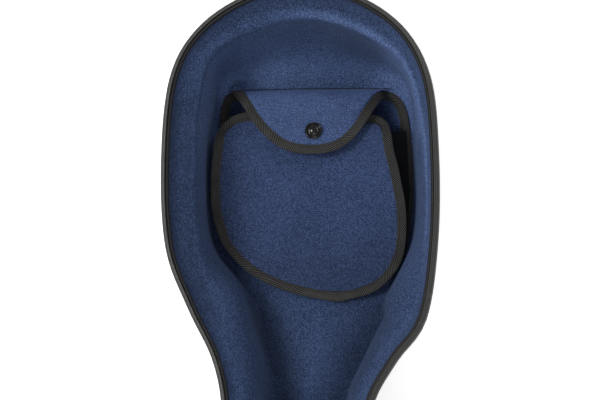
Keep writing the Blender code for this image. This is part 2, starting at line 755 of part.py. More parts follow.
def make_latch_plate(name, frame, finish):
    """The plate on the shell, with two ears and the lever's pin."""
    u, w = LATCH_PIVOT
    plate = add_piece(f"latch_plate_{name}", box(*LATCH_PLATE), finish, frame)
    ear = list(LATCH_EAR_ROOT)
    for angle in (math.radians(a) for a in range(200, -61, -52)):
        ear.append((u + LATCH_EAR_RADIUS * math.cos(angle), w + LATCH_EAR_RADIUS * math.sin(angle)))
    for n, low_v in enumerate(LATCH_EAR_V):
        bm = prism([(x, low_v, z) for x, z in ear], (0, LATCH_EAR_THICK, 0))
        combine(plate, add_helper(f"latch_ear_{name}_{n}", bm, frame), "UNION")
    reach = LEVER_HALF + GAP
    pin = rod((u, -reach, w), (u, reach, w), LATCH_PIN_RADIUS, 10)
    combine(plate, add_helper(f"latch_pin_{name}", pin, frame), "UNION")


def make_latch_lever(name, frame, finish):
    """A folded lever with a flange down each side, bored for its own pin and for the loop."""
    u, w = LATCH_PIVOT
    top = w + LEVER_TOP
    face = box((LEVER_FACE_U, -LEVER_HALF, w - LEVER_LENGTH), (LEVER_FACE_U + LEVER_THICK, LEVER_HALF, top))
    lever = add_piece(f"latch_lever_{name}", face, finish, frame)
    overlap = LEVER_THICK / 4
    for n, low_v in enumerate((-LEVER_HALF, LEVER_HALF - LEVER_FLANGE)):
        low = (u - LEVER_FLANGE_REACH, low_v, w - LEVER_FLANGE_DROP)
        flange = box(low, (LEVER_FACE_U + overlap, low_v + LEVER_FLANGE, top))
        combine(lever, add_helper(f"latch_flange_{name}_{n}", flange, frame), "UNION")
    reach = LEVER_HALF + CUT_PAST
    for n, (bore_u, bore_w) in enumerate((LATCH_PIVOT, LOOP_PIVOT)):
        bore = rod((bore_u, -reach, bore_w), (bore_u, reach, bore_w), LATCH_BORE_RADIUS, 12)
        combine(lever, add_helper(f"latch_bore_{name}_{n}", bore, frame), "DIFFERENCE")
    set_origin(lever, axis_place(frame, LATCH_PIVOT))


def make_latch_loop(name, frame, finish):
    """A wire loop that hangs in the lever's lower bores."""
    wide, drop = LOOP_HALF, LOOP_LENGTH
    corner = LATCH_PIN_RADIUS + 0.0001
    arm = [
        (wide - LOOP_HOOK, 0.0), (wide - corner, 0.0), (wide, corner), (wide, drop - LOOP_BEND), (wide - LOOP_BEND, drop),
    ]
    path = [(LOOP_PIVOT[0], v, LOOP_PIVOT[1] - down) for v, down in arm]
    path += [(a, -b, c) for a, b, c in reversed(path)]
    loop = add_wire(f"latch_loop_{name}", path, LATCH_PIN_RADIUS, finish, frame)
    set_origin(loop, axis_place(frame, LOOP_PIVOT))


def make_latch(name, place, finish):
    """One draw latch. Its keeper is on the lid, so it is returned."""
    frame = wall_frame(place)
    make_latch_plate(name, frame, finish)
    make_latch_lever(name, frame, finish)
    make_latch_loop(name, frame, finish)
    keeper = prism([(u, -KEEPER_HALF, w) for u, w in KEEPER_SECTION], (0, 2 * KEEPER_HALF, 0))
    return add_piece(f"latch_keeper_{name}", keeper, finish, open_lid_turn() @ frame)


def bail_rings():
    """Round sections along the handle's bail, from one end to the other."""
    u, w = HANDLE_PIVOT
    path = [(Vector((u, v, w - drop)), radius) for v, drop, radius in HANDLE_BAIL]
    path += [(Vector((p.x, -p.y, p.z)), radius) for p, radius in reversed(path)]
    across = Vector((1, 0, 0))
    rings = []
    for i, (here, radius) in enumerate(path):
        ahead = path[min(i + 1, len(path) - 1)][0] - here
        behind = here - path[max(i - 1, 0)][0]
        other = (ahead.normalized() + behind.normalized()).normalized().cross(across)
        ring = []
        for k in range(HANDLE_SIDES):
            angle = 2 * math.pi * k / HANDLE_SIDES
            ring.append(here + radius * (math.cos(angle) * across + math.sin(angle) * other))
        rings.append(ring)
    return rings


def make_side_handle(plastic, grip_finish):
    """A plate with two lugs and pins, and the bail that hangs on them."""
    frame = wall_frame(HANDLE_PLACE)
    u, w = HANDLE_PIVOT
    span = HANDLE_HALF_SPAN
    end = span + HANDLE_PLATE_PAST
    low_u, high_u = HANDLE_PLATE_U
    body = box((low_u, -end, w - HANDLE_PLATE_HALF), (high_u, end, w + HANDLE_PLATE_HALF))
    plate = add_piece("side_handle_plate", body, plastic, frame)
    grip = add_piece("side_handle_grip", loft(bail_rings()), grip_finish, frame)
    for n, sign in enumerate((-1, 1)):
        low_v, high_v = sorted(sign * (span + v) for v in HANDLE_LUG_V)
        lug = box((HANDLE_LUG_U[0], low_v, w - HANDLE_LUG_HALF), (HANDLE_LUG_U[1], high_v, w + HANDLE_LUG_HALF))
        combine(plate, add_helper(f"handle_lug_{n}", lug, frame), "UNION")
        pin = rod((u, sign * (span - 0.004), w), (u, sign * (span + 0.008), w), HANDLE_PIN_RADIUS, 12)
        combine(plate, add_helper(f"handle_pin_{n}", pin, frame), "UNION")
        bore = rod((u, sign * (span - 0.0062), w), (u, sign * (span + 0.020), w), HANDLE_BORE_RADIUS, 12)
        combine(grip, add_helper(f"handle_bore_{n}", bore, frame), "DIFFERENCE")
    set_origin(grip, axis_place(frame, HANDLE_PIVOT))


def band_outline(path, normals, reach, half_thick, z):
    """The outline of a band of some thickness along part of a path, at height z."""
    outer = [(*(path[i] + normals[i] * half_thick), z) for i in reach]
    inner = [(*(path[i] - normals[i] * half_thick), z) for i in reversed(reach)]
    return outer + inner


def make_head_handle(webbing, grip_finish, cutter):
    """A webbing loop across the head end, below the latch, with a moulded grip on its middle."""
    path = [Vector(p) for p in HEAD_HANDLE_PATH]
    path += [Vector((-p.x, p.y)) for p in reversed(path[:-1])]
    last = len(path) - 1
    normals = []
    for i in range(len(path)):
        along = (path[min(i + 1, last)] - path[max(i - 1, 0)]).normalized()
        normals.append(Vector((along.y, -along.x)))
    low_z, high_z = HEAD_HANDLE_Z
    tall = high_z - low_z
    web = band_outline(path, normals, range(len(path)), WEBBING_HALF_THICK, low_z)
    strap = add_piece("head_handle_strap", prism(web, (0, 0, tall)), webbing)
    combine(strap, cutter, "DIFFERENCE")

    inside = WEBBING_HALF_THICK + GAP
    covered = range(GRIP_FROM, len(path) - GRIP_FROM)
    skin = band_outline(path, normals, covered, inside + GRIP_THICK, low_z - GRIP_RISE)
    grip = add_piece("head_handle_grip", prism(skin, (0, 0, tall + 2 * GRIP_RISE)), grip_finish)
    slot_reach = range(GRIP_FROM - 1, len(path) - GRIP_FROM + 1)
    slot = band_outline(path, normals, slot_reach, inside, low_z - GAP)
    combine(grip, add_helper("grip_slot", prism(slot, (0, 0, tall + 2 * GAP))), "DIFFERENCE")


def make_wheels(plastic, rubber, cutter):
    """A housing with two cheeks and an axle at each corner of the foot end, and its wheel."""
    half = WHEEL_WIDTH / 2
    for side, sign in (("left", -1), ("right", 1)):
        x = sign * WHEEL_X
        block = box((x - HOUSING_HALF, HOUSING_Y[0], HOUSING_Z[0]), (x + HOUSING_HALF, HOUSING_Y[1], HOUSING_Z[1]))
        housing = add_piece(f"wheel_housing_{side}", block, plastic)
        combine(housing, cutter, "DIFFERENCE")
        for n, low_x in enumerate((x - half - CHEEK_GAP - CHEEK_THICK, x + half + CHEEK_GAP)):
            cheek = prism([(low_x, y, z) for y, z in CHEEK_SIDE], (CHEEK_THICK, 0, 0))
            combine(housing, add_helper(f"wheel_cheek_{side}_{n}", cheek), "UNION")
        reach = half + CHEEK_THICK
        axle = rod((x - reach, WHEEL_Y, WHEEL_Z), (x + reach, WHEEL_Y, WHEEL_Z), AXLE_RADIUS, 16)
        combine(housing, add_helper(f"wheel_axle_{side}", axle), "UNION")
        disc = rod((x - half, WHEEL_Y, WHEEL_Z), (x + half, WHEEL_Y, WHEEL_Z), WHEEL_RADIUS, 28)
        wheel = add_piece(f"wheel_{side}", disc, rubber)
        far = half + CUT_PAST
        bore = rod((x - far, WHEEL_Y, WHEEL_Z), (x + far, WHEEL_Y, WHEEL_Z), AXLE_RADIUS + WHEEL_BORE_GAP, 16)
        combine(wheel, add_helper(f"wheel_bore_{side}", bore), "DIFFERENCE")
        set_origin(wheel, Matrix.Translation((x, WHEEL_Y, WHEEL_Z)))


def make_feet(rubber, cutter):
    """Rubber buffers on the foot end of the lid."""
    feet = []
    for side, sign in (("left", -1), ("right", 1)):
        x = LID_X + sign * WHEEL_X
        foot = rod((x, FOOT_START_Y, FOOT_Z), (x, FOOT_END_Y, FOOT_Z), FOOT_RADIUS, 16)
        feet.append(add_piece(f"foot_{side}", foot, rubber))
        combine(feet[-1], cutter, "DIFFERENCE")
    return feet


def holder_block(name, y, half_width, finish):
    """A foam block across the lid's floor."""
    low = (LID_X - half_width, y - BOW_HOLDER_HALF_LENGTH, FLOOR_Z + GAP)
    high = (LID_X + half_width, y + BOW_HOLDER_HALF_LENGTH, BOW_HOLDER_TOP_Z)
    return add_piece(name, box(low, high), finish)


def cut_slot(block, name, x, y, low_z, high_z):
    """A slot for a bow, right through a holder along the case."""
    past = BOW_HOLDER_HALF_LENGTH + CUT_PAST
    slot = box((x - BOW_SLOT_HALF, y - past, low_z), (x + BOW_SLOT_HALF, y + past, high_z))
    combine(block, add_helper(name, slot), "DIFFERENCE")


def make_bow_holders(foam, plastic):
    """A notched rest with two turning catches near the bows' frogs, and a sleeve for their tips."""
    top = BOW_HOLDER_TOP_Z
    rest = holder_block("bow_rest", BOW_REST_Y, BOW_REST_HALF_WIDTH, foam)
    sleeve = holder_block("bow_tip_sleeve", BOW_TIP_Y, BOW_TIP_HALF_WIDTH, foam)
    made = [rest, sleeve]
    for side, sign in (("left", -1), ("right", 1)):
        x = LID_X + sign * BOW_SPACING
        cut_slot(rest, f"bow_groove_{side}", x, BOW_REST_Y, top - BOW_GROOVE_DEPTH, top + CUT_PAST)
        cut_slot(sleeve, f"bow_tunnel_{side}", x, BOW_TIP_Y, top - BOW_TUNNEL_DEPTHS[0], top - BOW_TUNNEL_DEPTHS[1])
        post_x = x - sign * SPINNER_OFFSET
        post = upright_rod((post_x, BOW_REST_Y), (SPINNER_RADIUS, top + GAP, top + SPINNER_HEIGHT), 16)
        spinner = add_piece(f"bow_spinner_{side}", post, plastic)
        low_x, high_x = sorted(post_x + sign * reach for reach in PADDLE_REACH)
        low = (low_x, BOW_REST_Y - PADDLE_HALF, top + PADDLE_Z[0])
        paddle = box(low, (high_x, BOW_REST_Y + PADDLE_HALF, top + PADDLE_Z[1]))
        combine(spinner, add_helper(f"bow_paddle_{side}", paddle), "UNION")
        set_origin(spinner, Matrix.Translation((post_x, BOW_REST_Y, top)))
        made.append(spinner)
    return made


def build():
    clear_scene()
    shell_finish = finish_material("shell plastic", (0.035, 0.036, 0.038), 0.45)
    rim_finish = finish_material("rim aluminium", (0.22, 0.22, 0.21), 0.45, 0.6)
    rubber = finish_material("black rubber", (0.02, 0.02, 0.02), 0.8)
    velour = finish_material("blue velour", (0.035, 0.062, 0.16), 0.95)
    pad_velour = finish_material("blue pad velour", (0.04, 0.07, 0.18), 0.95)
    tape = finish_material("black binding tape", (0.022, 0.022, 0.022), 0.85)
    plastic = finish_material("hard plastic", (0.02, 0.02, 0.022), 0.4)
    metal = finish_material("latch steel", (0.55, 0.55, 0.56), 0.3, 1.0)
    snap = finish_material("snap enamel", (0.012, 0.012, 0.014), 0.15, 0.4)

    make_shell("base_shell", to_base, shell_finish)
    make_rim("base_rim", to_base, rim_section(TONGUE_INSETS, TONGUE_HEIGHT), rim_finish)
    make_lining("base_lining", to_base, velour)
    on_lid = [
        make_shell("lid_shell", to_lid, shell_finish),
        make_rim("lid_rim", to_lid, rim_section(GROOVE_INSETS, -GROOVE_DEPTH), rim_finish),
        make_rim("lid_seal", to_lid, seal_section(), rubber),
        make_lining("lid_lining", to_lid, velour),
    ]

    make_bout_pads(pad_velour)
    make_neck_cradle(pad_velour, tape)
    make_endpin_block(pad_velour)
    make_pocket(pad_velour, tape, snap)

    for n, y in enumerate(HINGE_YS, 1):
        make_hinge_leaf(f"hinge_base_leaf_{n}", y, True, metal)
        on_lid.append(make_hinge_leaf(f"hinge_lid_leaf_{n}", y, False, metal))
    for name, place in LATCH_PLACES.items():
        on_lid.append(make_latch(name, place, metal))
    base_cutter = shell_cutter("base_cutter", to_base)
    lid_cutter = shell_cutter("lid_cutter", to_lid)
    make_side_handle(plastic, rubber)
    make_head_handle(tape, rubber, base_cutter)
    make_wheels(plastic, rubber, base_cutter)
    on_lid += make_feet(rubber, lid_cutter)
    on_lid += make_bow_holders(pad_velour, plastic)
    hang_on_axis("lid_hinge_axis", (HINGE_X, 0, HINGE_Z), on_lid)


build()
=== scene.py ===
"""The looks of a hard cello case that lies open on its back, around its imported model."""

import json
import math

import bmesh
import bpy
from mathutils import Matrix, Vector, noise


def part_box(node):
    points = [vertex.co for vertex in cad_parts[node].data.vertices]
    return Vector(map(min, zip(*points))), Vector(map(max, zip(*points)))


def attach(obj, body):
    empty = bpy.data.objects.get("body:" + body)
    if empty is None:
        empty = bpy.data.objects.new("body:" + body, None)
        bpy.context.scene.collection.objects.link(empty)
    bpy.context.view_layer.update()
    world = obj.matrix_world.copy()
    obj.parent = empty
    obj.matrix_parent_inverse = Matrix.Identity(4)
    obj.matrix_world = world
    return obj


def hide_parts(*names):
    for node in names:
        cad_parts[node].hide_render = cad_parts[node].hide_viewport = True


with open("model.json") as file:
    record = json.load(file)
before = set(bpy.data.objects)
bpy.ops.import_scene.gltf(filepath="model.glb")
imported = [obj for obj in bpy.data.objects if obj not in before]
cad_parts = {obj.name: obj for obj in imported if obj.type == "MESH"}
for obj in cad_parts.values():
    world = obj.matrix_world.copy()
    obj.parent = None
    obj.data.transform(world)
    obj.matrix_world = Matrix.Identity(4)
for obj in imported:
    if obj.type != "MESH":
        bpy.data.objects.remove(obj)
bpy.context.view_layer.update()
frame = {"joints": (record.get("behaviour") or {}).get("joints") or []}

# Driving dimensions of the case, in metres, as its solids have them
RIM_Z = 0.140
HINGE_X = 0.262
HINGE_Z = RIM_Z + 0.0005
LID_X = 2 * HINGE_X
FLOOR_Z = 0.030
STRAIGHT_SIDE_X = 0.255
# Where a lever turns, as (outward from the rim's edge, up from the rim plane)
LATCH_PIVOT = (0.008, -0.020)
WHEEL_X = 0.135
OUTLINE_KEYS = [
    (0.000, 0.670), (0.056, 0.658), (0.104, 0.625), (0.131, 0.575), (0.139, 0.500), (0.138, 0.410),
    (0.126, 0.332), (0.097, 0.291), (0.075, 0.253), (0.070, 0.215), (0.084, 0.168), (0.130, 0.132),
    (0.190, 0.100), (0.235, 0.048), (0.253, -0.020), (0.255, -0.110), (0.255, -0.300), (0.255, -0.480),
    (0.243, -0.565), (0.205, -0.622), (0.130, -0.657), (0.000, -0.670), (-0.130, -0.657), (-0.205, -0.622),
    (-0.243, -0.565), (-0.255, -0.480), (-0.250, -0.390), (-0.232, -0.270), (-0.213, -0.150),
    (-0.209, -0.050), (-0.199, 0.040), (-0.166, 0.104), (-0.112, 0.150), (-0.083, 0.195), (-0.0775, 0.245),
    (-0.087, 0.294), (-0.112, 0.346), (-0.134, 0.405), (-0.139, 0.490), (-0.131, 0.575), (-0.104, 0.625),
    (-0.056, 0.658),
]
OUTLINE_STEP = 0.010
HEAD_END_Y = (0.595, 0.668)
HEAD_BOWL_Y = (0.540, 0.630)

# Shell
SHELL_WALL = 0.003
RIM_OVERHANG = 0.0018
BAND_Z = 0.078
BACK_INSET = 0.062
SHELL_TOP_Z = RIM_Z - 0.0062
TURN_STEPS = 12
NECK_TAPER = 0.0070
NECK_TAPER_Y = (0.13, 0.20)
HEAD_TAPER_Y = (0.52, 0.60)

# Rim and trim sections as (inset from the outer edge, height from the rim plane)
BASE_RIM_SECTION = [
    (0.0014, -0.0140), (0.0004, -0.0140), (0.0000, -0.0134), (0.0000, -0.0040), (0.0002, -0.0022),
    (0.0008, -0.0009), (0.0018, -0.0001), (0.0028, 0.0003), (0.0034, 0.0005), (0.0036, 0.0018),
    (0.0039, 0.0023), (0.0043, 0.0023), (0.0046, 0.0018), (0.0047, 0.0000), (0.0050, -0.0012),
    (0.0050, -0.0057), (0.0016, -0.0057),
]
LID_RIM_SECTION = [
    (0.0014, -0.0140), (0.0004, -0.0140), (0.0000, -0.0134), (0.0000, -0.0030), (0.0003, -0.0010),
    (0.0009, -0.0002), (0.0016, 0.0000), (0.0022, -0.0001), (0.0026, -0.0006), (0.0027, -0.0033),
    (0.0057, -0.0033), (0.0058, -0.0006), (0.0062, 0.0000), (0.0065, -0.0004), (0.0066, -0.0057),
    (0.0016, -0.0057),
]
TRIM_SECTION = [
    (0.0051, -0.0046), (0.0051, -0.0022), (0.0055, -0.0014), (0.0062, -0.0012), (0.0070, -0.0015),
    (0.0077, -0.0023), (0.0082, -0.0036), (0.0082, -0.0046),
]
LID_TRIM_SHIFT = 0.0016
SEAL_SECTION = [
    (0.0031, -0.0031), (0.0031, -0.0024), (0.0036, -0.0018), (0.0042, -0.0016), (0.0048, -0.0018),
    (0.0053, -0.0024), (0.0053, -0.0031),
]

# Lining as (inset, more inset at the head end, share of the shelf beside the neck, change on the hinge side,
# change on the latch side, depth below the rim, the same in the neck, the same at the head end)
LINING_STEPS = [
    (0.0083, 0.0000, 0.00, 0.0000, 0.0000, 0.0048, 0.0048, 0.0048),
    (0.0092, 0.0006, 0.00, -0.0002, 0.0000, 0.0078, 0.0076, 0.0078),
    (0.0110, 0.0020, 0.00, -0.0010, 0.0006, 0.0110, 0.0106, 0.0110),
    (0.0132, 0.0038, 0.00, -0.0022, 0.0020, 0.0140, 0.0134, 0.0140),
    (0.0156, 0.0060, 0.00, -0.0036, 0.0040, 0.0164, 0.0156, 0.0164),
    (0.0180, 0.0082, 0.00, -0.0052, 0.0060, 0.0180, 0.0172, 0.0180),
    (0.0203, 0.0100, 0.03, -0.0064, 0.0080, 0.0192, 0.0188, 0.0192),
    (0.0222, 0.0112, 0.12, -0.0066, 0.0094, 0.0220, 0.0214, 0.0220),
    (0.0236, 0.0122, 0.30, -0.0050, 0.0096, 0.0295, 0.0250, 0.0290),
    (0.0246, 0.0134, 0.52, -0.0026, 0.0092, 0.0430, 0.0300, 0.0400),
    (0.0255, 0.0152, 0.74, 0.0000, 0.0084, 0.0640, 0.0370, 0.0530),
    (0.0264, 0.0180, 0.92, 0.0025, 0.0075, 0.0840, 0.0480, 0.0660),
    (0.0276, 0.0222, 1.00, 0.0045, 0.0062, 0.1000, 0.0740, 0.0790),
    (0.0298, 0.0280, 1.00, 0.0050, 0.0042, 0.1075, 0.1000, 0.0905),
    (0.0345, 0.0340, 0.97, 0.0040, 0.0000, 0.1096, 0.1094, 0.0990),
]
FLOOR_EASE = 0.30
# Hollow in the floor where the lifted flap's corner comes down, as (place, spread, depth)
FLAP_ROOM = (Vector((-0.072, 0.590)), 0.016, 0.0018)
# Painted light and shade on the plush, by steps of the lining's wall from its top edge, and by places around
# the head
HEAD_MIDDLE_Y = 0.46
CREST_STEP = 5.8
CREST_REACH = 1.8
CREST_INNER_REACH = 3.2
CREST_BRIGHT_SIDE = (0.80, 0.60)
CREST_BRIGHT_TURN = (0.3, 0.95)
CREST_WIDE_TURN = (0.84, 0.96)
CREST_DIP_X = 0.049
CREST_DIP_REACH = 0.018
# Strengths of the painted highlight on the crest
CREST_HIGHLIGHT_EVERYWHERE = 0.10
CREST_HIGHLIGHT_TOWARDS_LIGHT = 0.84
CREST_LEFT_LOSS = 0.25
CREST_DIP_LOSS = 0.26
# Painted shade at the top and left of the band above the crest, and painted light at its right
TOP_BAND_PAINTED_SHADE = -0.41
RIGHT_BAND_PAINTED_LIGHT = 0.30
LEFT_BAND_PAINTED_SHADE = -0.50
# Strengths of painted light on slopes, walls and the floor, and of painted shade in the head's hollow
SLOPE_PAINTED_LIGHT = 0.60
WALL_PAINTED_LIGHT = 0.36
HOLLOW_PAINTED_SHADE = 0.45
FLOOR_PAINTED_LIGHT = 0.22
LEFT_FLOOR_PAINTED_LIGHT = 0.45
LEFT_SIDE_X = (-0.05, 0.02)
TOP_BAND_END_X = (0.065, 0.100)
LEFT_BAND_Y = (0.30, 0.36, 0.54, 0.60)
PAINTED_LIGHT_SLOPE_STEPS = (6.5, 8.0, 15.0, 17.0)
PAINTED_LIGHT_WALL_STEPS = (7.0, 8.5, 13.0, 14.5)
PAINTED_LIGHT_FLOOR_STEPS = (12.5, 14.5)
PAINTED_LIGHT_FLOOR_Y = (0.56, 0.58)
LEFT_VALLEY = (11.4, 12.6, 14.3, 16.2)
RIGHT_VALLEY = (6.2, 11.2, 14.5, 17.6)
# Strengths of the painted shade in the valleys
LEFT_VALLEY_PAINTED_SHADE = 0.75
RIGHT_VALLEY_PAINTED_SHADE = 0.58
# Steps by which the painted shade in the valleys rises at their lower end. The right one's are for its start
# and its middle.
LEFT_VALLEY_RISE = 1.5
RIGHT_VALLEY_RISE = (3.2, 4.2)
# Steps and places of the painted shade in the hollow under the head's shoulder
HEAD_HOLLOW = (6.8, 8.2, 11.5, 13.5)
HEAD_HOLLOW_X = (-0.02, 0.05)
VALLEY_Y = (0.19, 0.27, 0.34, 0.40)
VALLEY_LOW_Y = (0.28, 0.34)
# Shelves beside the neck as (middle y, spread, most inset)
NECK_SHELVES = [(0.235, 0.050, 0.0060), (0.338, 0.055, 0.0210)]
NECK_SHELF_END_Y = (0.224, 0.256)
NECK_SECTION_Y = (0.16, 0.23, 0.355, 0.43)
HINGE_SIDE_X = (0.02, 0.09)
HINGE_SIDE_Y = (0.27, 0.37, 0.49, 0.60)
LATCH_SIDE_X = (-0.08, -0.03)
LATCH_SIDE_Y = (0.33, 0.42, 0.57, 0.64)
NECK_HUMP = 0.0120
NECK_HUMP_Y = (0.305, 0.070)
LINING_ROWS_PER_STEP = 3
FLOOR_SHARES = (0.06, 0.14, 0.24, 0.36, 0.50, 0.64, 0.78, 0.90, 0.97)
HEAD_END_REACH = 0.085
BOTTOM_END_REACH = 2.2 * HEAD_END_REACH
LINING_FLOOR_Z = FLOOR_Z + 0.0003
# Slow unevenness as (size, depth), and the depths below the rim between which it sets in
WALL_DENTS = (0.045, 0.0016)
WALL_DENTS_DEPTH = (0.010, 0.030)
FLOOR_DENTS = (0.060, 0.0007)

# Accessory pocket. Edges are given on the outside of their tapes.
TAPE_WIDTH = 0.0098
TAPE_THICK = 0.0030
TAPE_OVERLAP = 0.0008
PANEL_THICK = 0.0018
PANEL_SHARES = (1.0, 0.97, 0.92, 0.84, 0.74, 0.63, 0.51, 0.39, 0.27, 0.15, 0.05)
FLAP_THICK = 0.0016
FLAP_TUCK = 0.0012
FLAP_ROWS = 26
MOUTH_Y = 0.532
GUSSET_THICK = 0.0008
GUSSET_INSET = 0.0030
GUSSET_BELLY = 0.0060
GUSSET_PLEAT = 0.0008
PLEAT_WAVES = 90
# Slow unevenness of the panels as (size, depth)
FRONT_DENTS = (0.030, 0.0009)
BACK_DENTS = (0.030, 0.0003)
FLAP_DENTS = (0.028, 0.0010)
FRONT_HANG = 0.0036
FRONT_SLACK = 0.0030
TAPE_WAVES = 38.0
BACK_TAPE_WANDER = 0.0006
FRONT_TAPE_WANDER = 0.0008
SEAM_Y = 0.5755
SEAM_THREAD_Z = 0.0402
SEAM_WAVE = [(-0.079, 0.0004), (-0.040, 0.0011), (0.0, 0.0014), (0.040, 0.0008), (0.083, 0.0002)]
FLAP_KEYS = [
    (-0.0850, 0.5790, 0.0370), (-0.0755, 0.5682, 0.0500), (-0.0658, 0.5554, 0.0600),
    (-0.0565, 0.5409, 0.0680), (-0.0456, 0.5278, 0.0730), (-0.0309, 0.5150, 0.0755),
    (-0.0165, 0.5080, 0.0765), (0.0000, 0.5051, 0.0770), (0.0161, 0.5054, 0.0770), (0.0323, 0.5092, 0.0765),
    (0.0443, 0.5169, 0.0755), (0.0552, 0.5293, 0.0730), (0.0647, 0.5452, 0.0670), (0.0701, 0.5552, 0.0600),
    (0.0745, 0.5625, 0.0500), (0.0785, 0.5652, 0.0400),
]
FLAP_PROFILE = [
    (0.5765, 0.0372), (0.5715, 0.0490), (0.566, 0.0570), (0.558, 0.0655), (0.548, 0.0718), (0.536, 0.0752),
    (0.522, 0.0768), (0.500, 0.0772),
]
FRONT_KEYS = [
    (0.006, 0.5440), (0.046, 0.5455), (0.0660, 0.5470), (0.0790, 0.5405), (0.0850, 0.5270),
    (0.0885, 0.5080), (0.0937, 0.4840), (0.0978, 0.4600), (0.0998, 0.4393), (0.0984, 0.4193),
    (0.0939, 0.4005), (0.0844, 0.3836), (0.0730, 0.3728), (0.0566, 0.3649), (0.0352, 0.3601),
    (0.0098, 0.3613), (-0.0105, 0.3655), (-0.0306, 0.3716), (-0.0488, 0.3798), (-0.0659, 0.3910),
    (-0.0790, 0.4042), (-0.0909, 0.4214), (-0.0984, 0.4516), (-0.0990, 0.4818), (-0.0965, 0.5118),
    (-0.0932, 0.5284), (-0.0905, 0.5352), (-0.0852, 0.5420), (-0.0770, 0.5480), (-0.0646, 0.5515),
    (-0.0480, 0.5500),
]
BACK_KEYS = [
    (0.0000, 0.5745), (0.0500, 0.5745), (0.0770, 0.5735), (0.0860, 0.5708), (0.0925, 0.5645),
    (0.0975, 0.5540), (0.1015, 0.5300), (0.1040, 0.5028), (0.1035, 0.4619), (0.1012, 0.4364),
    (0.0960, 0.4110), (0.0870, 0.3907), (0.0740, 0.3790), (0.0560, 0.3720), (0.0352, 0.3690),
    (0.0098, 0.3700), (-0.0105, 0.3745), (-0.0306, 0.3810), (-0.0488, 0.3900), (-0.0640, 0.4010),
    (-0.0760, 0.4140), (-0.0860, 0.4320), (-0.0920, 0.4580), (-0.0940, 0.4850), (-0.0945, 0.5200),
    (-0.0940, 0.5500), (-0.0915, 0.5650), (-0.0870, 0.5735), (-0.0800, 0.5750), (-0.0600, 0.5750),
]
TAPE_JOIN_PLACE = Vector((0.0272, 0.3603))
TAPE_JOIN_SPREAD = 0.009
TAPE_JOIN_REACH = 0.0021
POCKET_STEP = 0.0035
POCKET_FOOT_Z = FLOOR_Z + 0.0008
FRONT_LOW_Z = 0.0405
FRONT_HIGH_Z = 0.0690
FRONT_Y_RANGE = (0.360, 0.552)
FRONT_BELLY = 1.35
FRONT_CORNER_FALL = 0.0130
FRONT_CORNER_X = (0.036, 0.060)
FRONT_CORNER_Y = (0.522, 0.545)
# Painted shade on the pocket's panels, beside the front's left tape and at the foot
PAINTED_SHADE_BESIDE = 0.50
PAINTED_SHADE_FOOT = 0.42
PAINTED_SHADE_X = (0.045, 0.085)
PAINTED_SHADE_Y = (-0.47, -0.37)
# Painted shade on the flap towards its tip
FLAP_TIP_PAINTED_SHADE = -0.50
FLAP_TIP_Y = (-0.570, -0.540)
SNAP_PLACE = (0.0078, 0.5285)
SNAP_CAP_Z = 0.0806
SNAP_RADIUS = 0.0087


def smooth_between(a, b, c, d, t):
    """A point between b and c on the smooth curve through four points."""
    return 0.5 * (
        2 * b + (c - a) * t + (2 * a - 5 * b + 4 * c - d) * t * t + (3 * b - a - 3 * c + d) * t * t * t
    )


def smooth_path(keys, step, closed=False):
    """A smooth curve through the keys, in steps of about the given length."""
    points = [Vector(k) for k in keys]
    last = len(points) - 1
    path = []
    for i in range(last + closed):
        near = (i - 1, i, i + 1, i + 2)
        a, b, c, d = (points[k % (last + 1) if closed else min(max(k, 0), last)] for k in near)
        steps = max(1, round((c - b).length / step))
        path.extend(smooth_between(a, b, c, d, s / steps) for s in range(steps))
    return path if closed else path + [points[-1]]


def smooth_step(x, low, high):
    t = min(1.0, max(0.0, (x - low) / (high - low)))
    return t * t * (3 - 2 * t)


def way_at(path, i, closed=False):
    """The way in which a path runs at one of its points."""
    if closed:
        return path[(i + 1) % len(path)] - path[i - 1]
    return path[min(i + 1, len(path) - 1)] - path[max(i - 1, 0)]


def inward_normals(loop):
    """Unit vectors that point into a clockwise loop."""
    ways = [way_at(loop, i, True).normalized() for i in range(len(loop))]
    return [Vector((way.y, -way.x)) for way in ways]


OUTLINE = smooth_path(OUTLINE_KEYS, OUTLINE_STEP, closed=True)
OUTLINE_NORMALS = inward_normals(OUTLINE)
UP = (0, 0, 1)
ACROSS = (1, 0, 0)


def outline_ring(inset, z):
    """The outline moved inward at height z, as 3-D points."""
    return [Vector((*(p + n * inset), z)) for p, n in zip(OUTLINE, OUTLINE_NORMALS)]


def to_base(point):
    return point


def to_lid(point):
    """Mirrors a point across the hinge line."""
    return Vector((2 * HINGE_X - point.x, point.y, point.z))


def running_lengths(points, closed):
    lengths = [0.0]
    for a, b in zip(points, points[1:]):
        lengths.append(lengths[-1] + (b - a).length)
    if closed:
        lengths.append(lengths[-1] + (points[0] - points[-1]).length)
    return lengths


